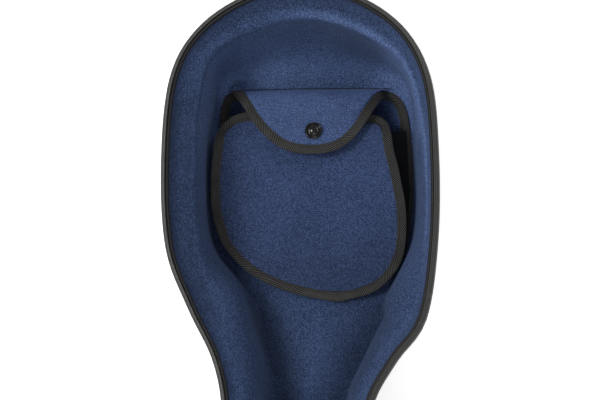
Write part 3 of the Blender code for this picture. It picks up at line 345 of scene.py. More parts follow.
def ring_mesh(rings, ends="capped", along_rows=False):
    """Skins rings of equal count, by extruding the first one's edges ring by ring.

    ends is capped or joined. The UV map is in metres, with u along the piece and v across it.
    """
    bm = bmesh.new()
    place = bm.verts.layers.int.new("place")
    row = bm.verts.layers.int.new("row")
    uv = bm.loops.layers.uv.new("UVMap")
    count = len(rings[0])
    start = bmesh.ops.create_circle(bm, segments=count, radius=1.0)["verts"]
    for i, vert in enumerate(start):
        vert[place] = i
        vert.co = rings[0][i]
    first_edges = list(bm.edges)
    edges = first_edges
    stack = list(rings[1:]) + ([rings[0]] if ends == "joined" else [])
    for r, ring in enumerate(stack, 1):
        grown = bmesh.ops.extrude_edge_only(bm, edges=edges)["geom"]
        edges = [g for g in grown if isinstance(g, bmesh.types.BMEdge)]
        for vert in grown:
            if isinstance(vert, bmesh.types.BMVert):
                vert[row] = r
                vert.co = ring[vert[place]]
    round_lengths = running_lengths(rings[len(rings) // 2], True)
    row_lengths = running_lengths([ring[0] for ring in [rings[0], *stack]], False)
    for face in bm.faces:
        wraps = any(loop.vert[place] == 0 for loop in face.loops) and any(
            loop.vert[place] == count - 1 for loop in face.loops
        )
        for loop in face.loops:
            i = count if wraps and loop.vert[place] == 0 else loop.vert[place]
            u, v = round_lengths[i], row_lengths[loop.vert[row]]
            loop[uv].uv = (v, u) if along_rows else (u, v)
    if ends == "capped":
        caps = bmesh.ops.edgeloop_fill(bm, edges=first_edges)["faces"]
        caps += bmesh.ops.edgeloop_fill(bm, edges=edges)["faces"]
        bmesh.ops.triangulate(bm, faces=caps)
    else:
        bmesh.ops.remove_doubles(bm, verts=bm.verts, dist=1e-7)
    bmesh.ops.recalc_face_normals(bm, faces=bm.faces)
    return bm


def link_object(name, data):
    """Puts a mesh, camera or lamp into the scene."""
    made = bpy.data.objects.new(name, data)
    bpy.context.scene.collection.objects.link(made)
    return made


def object_from(name, bm):
    """Turns a bmesh into an object of the scene."""
    mesh = bpy.data.meshes.new(name)
    bm.to_mesh(mesh)
    bm.free()
    return link_object(name, mesh)


def with_modifiers(thing):
    """An object's mesh as its modifiers leave it."""
    return bpy.data.meshes.new_from_object(thing.evaluated_get(bpy.context.evaluated_depsgraph_get()))


def add_piece(name, bm, finish, body, replaced=None, matrix=None, sharp=38):
    """Turns a bmesh into a piece of the case that rides on a body. Its slot goes with its finish."""
    if matrix is not None:
        bm.transform(matrix)
        if matrix.determinant() < 0:
            bmesh.ops.recalc_face_normals(bm, faces=bm.faces)
    piece = object_from(name, bm)
    piece.data.shade_smooth()
    piece.data.set_sharp_from_angle(angle=math.radians(sharp))
    piece.data.materials.append(finish)
    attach(piece, body)
    if replaced:
        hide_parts(replaced)
    return piece


def add_pad(replaced, bm, body="base", sharp=60):
    """A piece of foam under plush, in place of one node."""
    add_piece(f"{replaced}_velour", bm, PAD_VELOUR, body, replaced, sharp=sharp)


def join_meshes(parts):
    """Puts several closed shapes into one bmesh."""
    whole = bmesh.new()
    for part in parts:
        mesh = bpy.data.meshes.new("part")
        part.to_mesh(mesh)
        part.free()
        whole.from_mesh(mesh)
        bpy.data.meshes.remove(mesh)
    return whole


def round_edges(bm, edges, radius, steps=2):
    bmesh.ops.bevel(bm, geom=edges, offset=radius, segments=steps, profile=0.5, affect="EDGES", material=-1)


def aimed(place, way, forward="Z"):
    """A frame at a place, whose forward axis points along a vector."""
    return Matrix.Translation(Vector(place)) @ Vector(way).to_track_quat(forward, "Y").to_matrix().to_4x4()


def rectangle(low_a, low_b, high_a, high_b):
    return [(low_a, low_b), (high_a, low_b), (high_a, high_b), (low_a, high_b)]


def rounded_box(low, high, radius):
    bm = bmesh.new()
    low, high = Vector(low), Vector(high)
    place = Matrix.Translation((low + high) / 2) @ Matrix.Diagonal((*(high - low), 1.0))
    bmesh.ops.create_cube(bm, size=1.0, matrix=place)
    round_edges(bm, list(bm.edges), radius)
    return bm


def rounded_rod(start, end, radius, edge, sides):
    """A cylinder between two points with rounded ends."""
    bm = bmesh.new()
    start, end = Vector(start), Vector(end)
    bmesh.ops.create_cone(
        bm, cap_ends=True, segments=sides, radius1=radius, radius2=radius, depth=(end - start).length,
        matrix=aimed((start + end) / 2, end - start),
    )
    if edge:
        round_edges(bm, [e for e in bm.edges if any(len(f.verts) > 4 for f in e.link_faces)], edge)
    return bm


def rounded_prism(corners, along, radius, segments=2):
    """A flat polygon pushed along a vector, with its edges rounded."""
    bm = bmesh.new()
    face = bm.faces.new([bm.verts.new(c) for c in corners])
    pushed = bmesh.ops.extrude_face_region(bm, geom=[face])
    moved = [v for v in pushed["geom"] if isinstance(v, bmesh.types.BMVert)]
    bmesh.ops.translate(bm, verts=moved, vec=along)
    bm.normal_update()
    bmesh.ops.recalc_face_normals(bm, faces=bm.faces)
    if radius:
        round_edges(bm, list(bm.edges), radius, segments)
    return bm


def plate_across(outline, u, thick, radius=0.0):
    """A plate whose outline is given as (v, w) and whose thickness runs along u."""
    return rounded_prism([(u, v, w) for v, w in outline], (thick, 0, 0), radius)


def bar_along(outline, v, length, radius=0.0, segments=2):
    """A bar whose section is given as (u, w) and which runs along v."""
    return rounded_prism([(u, v, w) for u, w in outline], (0, length, 0), radius, segments)


def turned(profile, place, way, steps=48):
    """A closed body turned from (radius, height) points, whose first and last points lie on the axis."""
    bm = bmesh.new()
    verts = [bm.verts.new((r, 0.0, h)) for r, h in profile]
    edges = [bm.edges.new(pair) for pair in zip(verts, verts[1:])]
    bmesh.ops.spin(
        bm, geom=verts + edges, cent=(0, 0, 0), axis=(0, 0, 1), angle=math.tau, steps=steps, use_merge=True
    )
    bmesh.ops.remove_doubles(bm, verts=bm.verts, dist=1e-6)
    bmesh.ops.recalc_face_normals(bm, faces=bm.faces)
    bm.transform(aimed(place, way))
    return bm


def turned_ring(profile, place, way, steps):
    """A ring turned from a closed section of (radius, height) points."""
    rings = []
    for angle in (math.tau * k / steps for k in range(steps)):
        rings.append([Vector((r * math.cos(angle), r * math.sin(angle), h)) for r, h in profile])
    bm = ring_mesh(rings, "joined", along_rows=True)
    bm.transform(aimed(place, way))
    return bm


def tube(path, radius, sides):
    """A round bar along a path. radius is a number or a list of one number a point."""
    radii = [radius] * len(path) if isinstance(radius, float) else radius
    rings = []
    side = None
    for i, here in enumerate(path):
        tangent = way_at(path, i).normalized()
        if side is None:
            side = tangent.orthogonal().normalized()
        side = (side - tangent * side.dot(tangent)).normalized()
        other = tangent.cross(side)
        turns = [math.tau * k / sides for k in range(sides)]
        rings.append([here + radii[i] * (math.cos(t) * side + math.sin(t) * other) for t in turns])
    return ring_mesh(rings, along_rows=True)


# Shader building blocks


def node(tree, kind, values=(), **settings):
    """Adds a node. values pairs an input's name or number with a constant or with another node's output."""
    made = tree.nodes.new(kind)
    for key, value in settings.items():
        setattr(made, key, value)
    for key, value in dict(values).items():
        if isinstance(value, bpy.types.NodeSocket):
            tree.links.new(value, made.inputs[key])
        else:
            made.inputs[key].default_value = value
    return made


def maths(tree, operation, a, b=0.0):
    return node(tree, "ShaderNodeMath", {0: a, 1: b}, operation=operation).outputs[0]


def blend_colour(tree, factor, a, b):
    mixed = node(tree, "ShaderNodeMix", data_type="RGBA")
    for socket, value in ((0, factor), (6, a), (7, b)):
        if isinstance(value, bpy.types.NodeSocket):
            tree.links.new(value, mixed.inputs[socket])
        else:
            mixed.inputs[socket].default_value = value if socket == 0 else (*value, 1.0)
    return mixed.outputs[2]


def spread(tree, value, low, high, to_low=0.0, to_high=1.0):
    """Stretches a range of values to another, and holds its ends."""
    values = {0: value, 1: low, 2: high, 3: to_low, 4: to_high}
    return node(tree, "ShaderNodeMapRange", values, clamp=True).outputs[0]


def add_all(tree, first, *others):
    for other in others:
        first = maths(tree, "ADD", first, other)
    return first


def scaled(tree, value, factor):
    return maths(tree, "MULTIPLY", value, factor)


def centred(tree, value, factor):
    """A mask from nothing to one, moved to lie around nothing and scaled."""
    return scaled(tree, maths(tree, "SUBTRACT", value, 0.5), factor)


def object_place(tree):
    return node(tree, "ShaderNodeTexCoord").outputs["Object"]


def mapped(tree, vector, **values):
    sockets = {"Vector": vector, **{key.capitalize(): value for key, value in values.items()}}
    return node(tree, "ShaderNodeMapping", sockets).outputs[0]


def fog(tree, vector, scale, detail=2.0, roughness=0.5):
    """Noise from nothing to one."""
    values = {"Vector": vector, "Scale": scale, "Detail": detail, "Roughness": roughness}
    return node(tree, "ShaderNodeTexNoise", values).outputs["Fac"]


def new_group(name, inputs, outputs):
    """A node group with named sockets, and its input and output nodes."""
    group = bpy.data.node_groups.new(name, "ShaderNodeTree")
    for label, kind, default in inputs:
        socket = group.interface.new_socket(label, in_out="INPUT", socket_type=kind)
        if default is not None:
            socket.default_value = default
    for label, kind in outputs:
        group.interface.new_socket(label, in_out="OUTPUT", socket_type=kind)
    return group, group.nodes.new("NodeGroupInput"), group.nodes.new("NodeGroupOutput")


FLOAT, VECTOR = "NodeSocketFloat", "NodeSocketVector"
WHITE = (1, 1, 1, 1)
COAT_ROUGHNESS = 0.08
PLUSH_LOOP = 0.00064


def make_pile_group():
    """Short knitted pile: dark and light loops, paler stray fibres, and slow shading where it was brushed."""
    group, given, out = new_group(
        "knitted pile",
        [("Vector", VECTOR, None), ("Loop Size", FLOAT, 0.0013), ("Contrast", FLOAT, 1.0),
         ("Rows", FLOAT, 0.3)],
        [("Shade", FLOAT), ("Height", FLOAT)],
    )
    where = given.outputs["Vector"]
    inverse = maths(group, "DIVIDE", 1.0, given.outputs["Loop Size"])
    slanted = mapped(group, where, rotation=(0, 0, math.radians(38)), scale=(1.30, 0.75, 1.0))
    values = {"Vector": slanted, "Scale": inverse, "Randomness": 0.9}
    loops = node(group, "ShaderNodeTexVoronoi", values).outputs
    tone = node(group, "ShaderNodeSeparateColor", {0: loops["Color"]}).outputs[0]
    speckle = spread(group, maths(group, "POWER", tone, 2.2), 0.0, 1.0, -0.65, 1.45)
    gaps = spread(group, loops["Distance"], 0.2, 0.8, 0.06, -0.10)
    fibre = spread(group, tone, 0.88, 1.0, 0.0, 0.5)
    wave = node(
        group, "ShaderNodeTexWave",
        {"Vector": where, "Scale": scaled(group, inverse, 0.13), "Distortion": 2.5, "Detail": 1.0,
         "Detail Scale": 1.5},
        bands_direction="DIAGONAL",
    ).outputs["Fac"]
    rows = centred(group, wave, given.outputs["Rows"])
    slow = spread(group, fog(group, where, 22.0), 0.3, 0.7, -0.12, 0.12)
    shade = add_all(group, scaled(group, speckle, given.outputs["Contrast"]), fibre, gaps, rows, slow)
    group.links.new(spread(group, shade, -1.2, 1.4), out.inputs["Shade"])
    group.links.new(add_all(group, speckle, rows), out.inputs["Height"])
    return group


def make_twill_group():
    """Woven twill: slanted ribs across a tape, on a UV map in metres."""
    group, given, out = new_group(
        "twill", [("Rib", FLOAT, 0.0011), ("Slant", FLOAT, 1.0)], [("Ribs", FLOAT), ("Shade", FLOAT)]
    )
    uv = node(group, "ShaderNodeUVMap", uv_map="UVMap").outputs[0]
    along, across = node(group, "ShaderNodeSeparateXYZ", {0: uv}).outputs[:2]
    rib = given.outputs["Rib"]
    run = maths(group, "DIVIDE", add_all(group, along, scaled(group, across, given.outputs["Slant"])), rib)
    ribs = maths(group, "ABSOLUTE", maths(group, "SINE", scaled(group, run, math.pi)))
    picks = maths(group, "SINE", maths(group, "DIVIDE", scaled(group, across, math.tau), rib))
    group.links.new(add_all(group, ribs, scaled(group, picks, 0.18)), out.inputs["Ribs"])
    where = object_place(group)
    fuzz = centred(group, fog(group, where, 1400.0), 0.5)
    slow = centred(group, fog(group, where, 60.0), 0.4)
    shade = add_all(group, maths(group, "POWER", ribs, 4.0), fuzz, slow)
    group.links.new(spread(group, shade, 0.0, 1.0), out.inputs["Shade"])
    return group


def make_grain_group():
    """Moulded grain with fine scuffs and a little dust."""
    group, given, out = new_group(
        "grain and scuffs",
        [("Grain Size", FLOAT, 0.001), ("Scuffs", FLOAT, 0.4)],
        [("Height", FLOAT), ("Scuff", FLOAT), ("Dust", FLOAT)],
    )
    where = object_place(group)
    inverse = maths(group, "DIVIDE", 1.0, given.outputs["Grain Size"])
    cells = node(
        group, "ShaderNodeTexVoronoi", {"Vector": where, "Scale": inverse}, feature="SMOOTH_F1"
    ).outputs["Distance"]
    fine = scaled(group, fog(group, where, inverse, 3.0), 0.4)
    group.links.new(add_all(group, cells, fine), out.inputs["Height"])
    drawn = mapped(group, where, rotation=(0.3, 0.5, 0.9), scale=(9.0, 160.0, 60.0))
    lines = spread(group, fog(group, drawn, 1.0, 4.0), 0.60, 0.70)
    rubbed = spread(group, fog(group, where, 7.0, 3.0), 0.45, 0.70)
    scuff = scaled(group, scaled(group, lines, rubbed), given.outputs["Scuffs"])
    group.links.new(scuff, out.inputs["Scuff"])
    group.links.new(spread(group, fog(group, where, 5.0, 8.0, 0.7), 0.45, 0.75), out.inputs["Dust"])
    return group


PILE = make_pile_group()
TWILL = make_twill_group()
GRAIN = make_grain_group()


def new_material(
    name, metallic=0.0, specular=0.5, coat=0.0, sheen=0.0, sheen_roughness=0.5, sheen_tint=WHITE,
):
    """A material whose constant values sit on the shader's own sockets."""
    made = bpy.data.materials.new(name)
    made.use_nodes = True
    shader = made.node_tree.nodes["Principled BSDF"]
    for socket, value in (
        ("Metallic", metallic), ("Specular IOR Level", specular), ("Coat Weight", coat),
        ("Coat Roughness", COAT_ROUGHNESS), ("Sheen Weight", sheen), ("Sheen Roughness", sheen_roughness),
        ("Sheen Tint", sheen_tint),
    ):
        shader.inputs[socket].default_value = value
    return made, made.node_tree, shader


def dress(tree, shader, colour, roughness, height, distance, strength):
    """Gives a shader its colour, its roughness and a bump."""
    tree.links.new(colour, shader.inputs["Base Color"])
    tree.links.new(roughness, shader.inputs["Roughness"])
    bump = node(tree, "ShaderNodeBump", {"Height": height, "Distance": distance, "Strength": strength})
    tree.links.new(bump.outputs[0], shader.inputs["Normal"])


def use_twill(tree, rib, slant):
    return node(tree, "ShaderNodeGroup", {"Rib": rib, "Slant": slant}, node_tree=TWILL).outputs


def use_grain(tree, grain, scuffs):
    return node(tree, "ShaderNodeGroup", {"Grain Size": grain, "Scuffs": scuffs}, node_tree=GRAIN).outputs


# How much darker painted shade makes the velour's tones
PAINTED_SHADE_SCALE = 0.35


def velour(name, dark, light, loop_size, contrast, rows, turn=0.0, painted_highlight_tones=None):
    """Velour in two tones, and in a paler pair of tones for painted highlight. A per-point attribute paints
    highlight with the paler tones above nothing, and painted shade below it.
    """
    made, tree, shader = new_material(
        name, specular=0.2, sheen=0.15, sheen_roughness=0.40, sheen_tint=(0.42, 0.58, 1.0, 1.0)
    )
    where = object_place(tree)
    if turn:
        where = mapped(tree, where, rotation=(0, 0, turn))
    values = {"Vector": where, "Loop Size": loop_size, "Contrast": contrast, "Rows": rows}
    pile = node(tree, "ShaderNodeGroup", values, node_tree=PILE).outputs
    shade = pile["Shade"]
    painted_light = node(tree, "ShaderNodeAttribute", attribute_name="painted_light").outputs["Fac"]
    colour = blend_colour(tree, shade, dark, light)
    # The attribute paints highlight above nothing and painted shade below it
    if painted_highlight_tones:
        colour = blend_colour(tree, spread(tree, painted_light, 0.0, 1.0), colour, blend_colour(tree, shade, *painted_highlight_tones))
    painted_shade_colour = blend_colour(tree, shade, *[[PAINTED_SHADE_SCALE * c for c in tone] for tone in (dark, light)])
    colour = blend_colour(tree, spread(tree, painted_light, 0.0, -1.0), colour, painted_shade_colour)
    dress(tree, shader, colour, spread(tree, shade, 0.0, 1.0, 0.98, 0.82), pile["Height"], 0.0005, 0.7)
    return made


def tape_cloth(name, dark, light, rib, slant):
    made, tree, shader = new_material(name, specular=0.12, sheen=0.04, sheen_roughness=0.4)
    weave = use_twill(tree, rib, slant)
    colour = blend_colour(tree, weave["Shade"], dark, light)
    roughness = spread(tree, weave["Shade"], 0.0, 1.0, 0.92, 0.70)
    dress(tree, shader, colour, roughness, weave["Ribs"], 0.0004, 0.8)
    return made


def moulded(name, colour, worn, grain, scuffs, roughness, depth, specular=0.5):
    """Moulded plastic or rubber."""
    made, tree, shader = new_material(name, specular=specular)
    skin = use_grain(tree, grain, scuffs)
    dusted = blend_colour(tree, scaled(tree, skin["Dust"], 0.10), colour, worn)
    scuffed = blend_colour(tree, skin["Scuff"], dusted, worn)
    rough = spread(tree, skin["Dust"], 0, 1, roughness, roughness + 0.12)
    dress(tree, shader, scuffed, rough, skin["Height"], depth, 0.6)
    return made


def rim_metal(name, dark, light, hatch, metallic=0.35, roughness=0.42):
    """Extruded channel with a fine slanted hatching from its rolling."""
    made, tree, shader = new_material(name, metallic=metallic)
    weave = use_twill(tree, hatch, 0.9)
    skin = use_grain(tree, 0.0006, 0.5)
    hatched = blend_colour(tree, weave["Shade"], dark, light)
    scuffed = blend_colour(tree, skin["Scuff"], hatched, tuple(min(1.0, 1.6 * c) for c in light))
    rough = spread(tree, skin["Dust"], 0, 1, roughness, roughness + 0.15)
    dress(tree, shader, scuffed, rough, weave["Ribs"], 0.00012, 0.6)
    return made


def plated(name, colour, roughness):
    """Plated steel with drawn-out polishing marks and a few scuffs."""
    made, tree, shader = new_material(name, metallic=1.0)
    lines = fog(tree, mapped(tree, object_place(tree), scale=(1500.0, 1500.0, 60.0)), 1.0, 3.0)
    skin = use_grain(tree, 0.001, 0.6)
    stained = blend_colour(tree, scaled(tree, skin["Dust"], 0.5), colour, tuple(0.55 * c for c in colour))
    rough = spread(tree, lines, 0.3, 0.7, roughness - 0.08, roughness + 0.10)
    rough = add_all(tree, rough, scaled(tree, skin["Scuff"], 0.3))
    dress(tree, shader, stained, rough, lines, 0.00004, 0.5)
    return made


def enamel(name, colour, scuffed):
    """The snap's enamel."""
    made, tree, shader = new_material(name, specular=0.2, coat=0.22)
    skin = use_grain(tree, 0.002, 0.5)
    shown = blend_colour(tree, skin["Scuff"], colour, scuffed)
    dress(tree, shader, shown, spread(tree, skin["Dust"], 0, 1, 0.12, 0.25), skin["Height"], 0.00003, 0.3)
    return made


# The lining's second, paler pair of tones is its painted highlight, and its darkened tones are painted shade
LINING_VELOUR = velour(
    "lining velour", (0.006, 0.014, 0.038), (0.069, 0.112, 0.248), PLUSH_LOOP, 1.30, 0.10,
    painted_highlight_tones=((0.026, 0.050, 0.122), (0.148, 0.220, 0.452)),
)
PANEL_TURN = math.radians(-42)
POCKET_VELOUR = velour(
    "pocket velour", (0.017, 0.035, 0.092), (0.127, 0.201, 0.450), PLUSH_LOOP, 1.20, 0.25, PANEL_TURN
)
# A darker copy of the pocket velour, as painted shade on the pocket's front and back panels
SHADED_POCKET_VELOUR = velour(
    "shaded pocket velour", (0.005, 0.012, 0.033), (0.065, 0.103, 0.238), PLUSH_LOOP, 1.15, 0.35, PANEL_TURN
)
PAD_VELOUR = velour("pad velour", (0.010, 0.020, 0.052), (0.084, 0.130, 0.276), 0.0010, 0.9, 0.15)
TAPE = tape_cloth("binding tape", (0.0030, 0.0030, 0.0032), (0.085, 0.083, 0.081), 0.0028, 1.2)
GUSSET_CLOTH = tape_cloth("gusset cloth", (0.005, 0.005, 0.005), (0.034, 0.034, 0.034), 0.0012, 0.8)
WEBBING = tape_cloth("webbing", (0.006, 0.006, 0.006), (0.045, 0.045, 0.045), 0.0022, 1.0)
SHELL_PLASTIC = moulded(
    "shell plastic", (0.020, 0.021, 0.023), (0.11, 0.11, 0.11), 0.0016, 0.3, 0.42, 0.00035
)
HARD_PLASTIC = moulded("hard plastic", (0.014, 0.014, 0.015), (0.10, 0.10, 0.10), 0.0008, 0.4, 0.38, 0.0001)
RUBBER = moulded("black rubber", (0.013, 0.013, 0.013), (0.07, 0.07, 0.07), 0.0006, 0.5, 0.72, 0.0001, 0.35)
TRIM_RUBBER = moulded("trim", (0.008, 0.008, 0.009), (0.05, 0.05, 0.05), 0.0005, 0.3, 0.6, 0.00006, 0.35)
RIM_METAL = rim_metal("rim channel", (0.034, 0.034, 0.032), (0.085, 0.085, 0.080), 0.0022)
STEEL = plated("latch steel", (0.56, 0.56, 0.57), 0.26)
SNAP_ENAMEL = enamel("snap enamel", (0.004, 0.004, 0.0045), (0.10, 0.10, 0.10))


# Shells, rims and linings


def taper_at(y):
    """How far the neck's and the head's side walls lean in by the height of the band."""
    return NECK_TAPER * smooth_step(y, *NECK_TAPER_Y) * (1 - smooth_step(y, *HEAD_TAPER_Y))


def turn_rings(grow, steps, top_z):
    """Rings of one surface of the shell, from the top down. grow is how far it lies inside the outer one."""
    wide = BACK_INSET - RIM_OVERHANG - grow
    tall = BAND_Z - grow
    levels = [(wide, top_z, 0.0), (wide, (top_z + BAND_Z) / 2, 0.5)]
    for i in range(steps + 1):
        angle = math.pi / 2 * i / steps
        levels.append((wide * math.cos(angle), BAND_Z - tall * math.sin(angle), math.cos(angle)))
    rings = []
    for out, z, lean in levels:
        pairs = zip(OUTLINE, OUTLINE_NORMALS)
        rings.append([Vector((*(p + n * (BACK_INSET - out + lean * taper_at(p.y))), z)) for p, n in pairs])
    return rings


def make_shell(name, side, body):
    rings = turn_rings(SHELL_WALL, 4, SHELL_TOP_Z)[::-1] + turn_rings(0.0, TURN_STEPS, SHELL_TOP_Z)
    rings = [[side(p) for p in ring] for ring in rings]
    add_piece(f"{name}_shell_skin", ring_mesh(rings), SHELL_PLASTIC, body, f"{name}_shell")


def make_edge_strip(name, section, side, body, finish, replaced=None):
    """A rim, trim or seal that runs all round a half of the case."""
    rings = [[side(p) for p in outline_ring(inset, RIM_Z + height)] for inset, height in section]
    add_piece(name, ring_mesh(rings, "joined"), finish, body, replaced)


def lining_rows():
    """Smoothly filled-in steps of the lining's wall."""
    steps = [Vector(s) for s in LINING_STEPS]
    last = len(steps) - 1
    rows = []
    for i in range(last):
        a, b, c, d = (steps[min(max(i + k, 0), last)] for k in (-1, 0, 1, 2))
        rows.extend(smooth_between(a, b, c, d, s / LINING_ROWS_PER_STEP) for s in range(LINING_ROWS_PER_STEP))
    return rows + [steps[-1]]


def middle_x(ring, y):
    """Halfway between the two sides of a ring at one y."""
    crossings = []
    for a, b in zip(ring, ring[1:] + ring[:1]):
        if (a.y - y) * (b.y - y) <= 0 and a.y != b.y:
            crossings.append(a.x + (b.x - a.x) * (y - a.y) / (b.y - a.y))
    return (min(crossings) + max(crossings)) / 2


def dent(point, size, depth):
    """A slow, small unevenness of foam under cloth."""
    return depth * noise.noise(Vector(point) / size)


def within(y, start, full, level, end):
    """Rises from nothing at the start, and falls back to nothing at the end."""
    return smooth_step(y, start, full) * (1 - smooth_step(y, level, end))


def bump_at(distance, reach):
    """One in the middle, and nothing far from it."""
    return math.exp(-((distance / reach) ** 2))


def flap_room(place):
    """How far the lining gives way under the lifted flap's corner."""
    middle, reach, depth = FLAP_ROOM
    return depth * bump_at((place.xy - middle).length, reach)


def lining_wall():
    """Rings from the lining's top edge down its wall."""
    rings = []
    for inset, head, share, hinge_side, latch_side, depth, neck_depth, head_depth in lining_rows():
        ring = []
        for point, normal in zip(OUTLINE, OUTLINE_NORMALS):
            shelf = sum(most * bump_at(point.y - middle, reach) for middle, reach, most in NECK_SHELVES)
            shelf *= smooth_step(point.y, *NECK_SHELF_END_Y)
            by_hinges = smooth_step(point.x, *HINGE_SIDE_X) * within(point.y, *HINGE_SIDE_Y)
            by_latches = (1 - smooth_step(point.x, *LATCH_SIDE_X)) * within(point.y, *LATCH_SIDE_Y)
            at_head = smooth_step(point.y, *HEAD_END_Y)
            more = head * at_head + share * shelf + hinge_side * by_hinges + latch_side * by_latches
            in_neck, bowl = within(point.y, *NECK_SECTION_Y), smooth_step(point.y, *HEAD_BOWL_Y)
            here = depth + (neck_depth - depth) * in_neck + (head_depth - depth) * bowl
            place = Vector((*(point + normal * (inset + more)), RIM_Z - here))
            push = dent(place, *WALL_DENTS) * smooth_step(here, *WALL_DENTS_DEPTH)
            ring.append(place + Vector((*(normal * push), -flap_room(place))))
        rings.append(ring)
    return rings


def lining_face():
    """Rings from the lining's top edge down its wall and in over the floor."""
    rings = lining_wall()
    edge = rings[-1]
    top, bottom = max(p.y for p in edge), min(p.y for p in edge)
    targets = []
    for point in edge:
        y = min(max(point.y, bottom + BOTTOM_END_REACH), top - HEAD_END_REACH)
        targets.append(Vector((middle_x(edge, y), y, LINING_FLOOR_Z)))
    middle_y, reach = NECK_HUMP_Y
    for share in FLOOR_SHARES:
        ring = []
        for a, b in zip(edge, targets):
            place = a.lerp(b, share)
            hump = NECK_HUMP * bump_at(place.y - middle_y, reach) * math.sin(math.pi / 2 * share)
            rise = (a.z - LINING_FLOOR_Z) * max(0.0, 1 - share / FLOOR_EASE) ** 2
            rise = max(0.0, rise - flap_room(place))
            place.z = LINING_FLOOR_Z + rise + hump + dent(place, *FLOOR_DENTS) * (1 - share)
            ring.append(place)
        rings.append(ring)
    return rings


def mark_painted_light(piece, painted_light_at):
    """Stores painted light and shade on each point: above nothing it paints a pale highlight, and below it
    paints dark shade.
    """
    mesh = piece.data
    painted_light = mesh.attributes.new("painted_light", "FLOAT", "POINT")
    rows = mesh.attributes["row"]
    for vert, row, painted_amount in zip(mesh.vertices, rows.data, painted_light.data):
        painted_amount.value = painted_light_at(vert.co, row.value)


def crest_painted_highlight(place, step, away, left):
    """A painted highlight along the shoulder's crest, brightest on the side towards the light, weaker on the
    left and over the dip.
    """
    turn = away.dot(Vector(CREST_BRIGHT_SIDE).normalized())
    wide = smooth_step(turn, *CREST_WIDE_TURN) if step > CREST_STEP else 0.0
    reach = CREST_REACH + (CREST_INNER_REACH - CREST_REACH) * wide
    bright = smooth_step(turn, *CREST_BRIGHT_TURN)
    dip = bump_at(place.x - CREST_DIP_X, CREST_DIP_REACH) * (place.y > HEAD_MIDDLE_Y)
    crest = smooth_step(1 - abs(step - CREST_STEP) / reach, 0.0, 1.0)
    return crest * (CREST_HIGHLIGHT_EVERYWHERE + CREST_HIGHLIGHT_TOWARDS_LIGHT * bright - CREST_LEFT_LOSS * left - CREST_DIP_LOSS * dip)


def band_painted_light(place, step, away, left):
    """Above the crest: painted shade at the top, painted light at the right and painted shade at the left."""
    top = smooth_step(away.y, 0.70, 0.90) * (1 - smooth_step(place.x, *TOP_BAND_END_X))
    right = smooth_step(away.x, 0.70, 0.95)
    beside = left * within(place.y, *LEFT_BAND_Y)
    band = TOP_BAND_PAINTED_SHADE * top * (1 - smooth_step(step, 3.0, 5.0))
    band += RIGHT_BAND_PAINTED_LIGHT * right * (1 - smooth_step(step, 3.5, 5.5))
    return band + LEFT_BAND_PAINTED_SHADE * beside * (1 - smooth_step(step, 5.0, 7.5))


def valley_painted_shade(place, step, left):
    """Painted shade in the valleys beside the neck, which lies higher on the wall at their lower end."""
    low = 1 - smooth_step(place.y, *VALLEY_LOW_Y)
    start, full = (at - rise * low for at, rise in zip(RIGHT_VALLEY, RIGHT_VALLEY_RISE))
    valley = LEFT_VALLEY_PAINTED_SHADE * left * within(step - LEFT_VALLEY_RISE * low, *LEFT_VALLEY)
    valley += RIGHT_VALLEY_PAINTED_SHADE * (1 - left) * within(step, start, full, *RIGHT_VALLEY[2:])
    return -valley * within(place.y, *VALLEY_Y)


def lining_painted_light(place, step):
    """Painted light and shade on the lining: a painted highlight along the shoulder's crest, painted light on
    slopes, walls and the floor by the head, and painted shade in the valleys beside the neck and in the
    hollow under the head's shoulder.
    """
    away = Vector((place.x, place.y - HEAD_MIDDLE_Y))
    away = away.normalized() if away.length else away
    left = 1 - smooth_step(place.x, *LEFT_SIDE_X)
    slope = SLOPE_PAINTED_LIGHT * smooth_step(away.x + away.y, 1.30, 1.39) * within(step, *PAINTED_LIGHT_SLOPE_STEPS)
    upper_left = smooth_step(-away.x, -0.05, 0.30) * smooth_step(away.y, 0.20, 0.55)
    wall = WALL_PAINTED_LIGHT * upper_left * within(step, *PAINTED_LIGHT_WALL_STEPS)
    right = smooth_step(place.x, *HEAD_HOLLOW_X)
    hollow = HOLLOW_PAINTED_SHADE * right * smooth_step(away.y, 0.82, 0.93) * within(step, *HEAD_HOLLOW)
    floor = (FLOOR_PAINTED_LIGHT + LEFT_FLOOR_PAINTED_LIGHT * left) * smooth_step(place.y, *PAINTED_LIGHT_FLOOR_Y)
    floor *= smooth_step(step, *PAINTED_LIGHT_FLOOR_STEPS)
    shades = slope + wall + floor - hollow + valley_painted_shade(place, step, left)
    return shades + crest_painted_highlight(place, step, away, left) + band_painted_light(place, step, away, left)


def make_lining(name, side, body):
    face = lining_face()
    back = turn_rings(SHELL_WALL + 0.0003, 4, RIM_Z - LINING_STEPS[0][5])
    rings = [[side(p) for p in ring] for ring in face[::-1] + back]
    piece = add_piece(f"{name}_velour", ring_mesh(rings), LINING_VELOUR, body, name, sharp=70)
    # Paints light and shade onto the lining's points
    mark_painted_light(piece, lambda co, row: lining_painted_light(side(co), (len(face) - 1 - row) / LINING_ROWS_PER_STEP))


def make_halves():
    for half, side, section, shift in (
        ("base", to_base, BASE_RIM_SECTION, 0.0), ("lid", to_lid, LID_RIM_SECTION, LID_TRIM_SHIFT),
    ):
        make_shell(half, side, half)
        make_edge_strip(f"{half}_rim_channel", section, side, half, RIM_METAL, f"{half}_rim")
        trim = [(inset + shift, height) for inset, height in TRIM_SECTION]
        make_edge_strip(f"{half}_rim_trim", trim, side, half, TRIM_RUBBER)
        make_lining(f"{half}_lining", side, half)
    make_edge_strip("lid_seal_bead", SEAL_SECTION, to_lid, "lid", RUBBER, "lid_seal")


# Accessory pocket


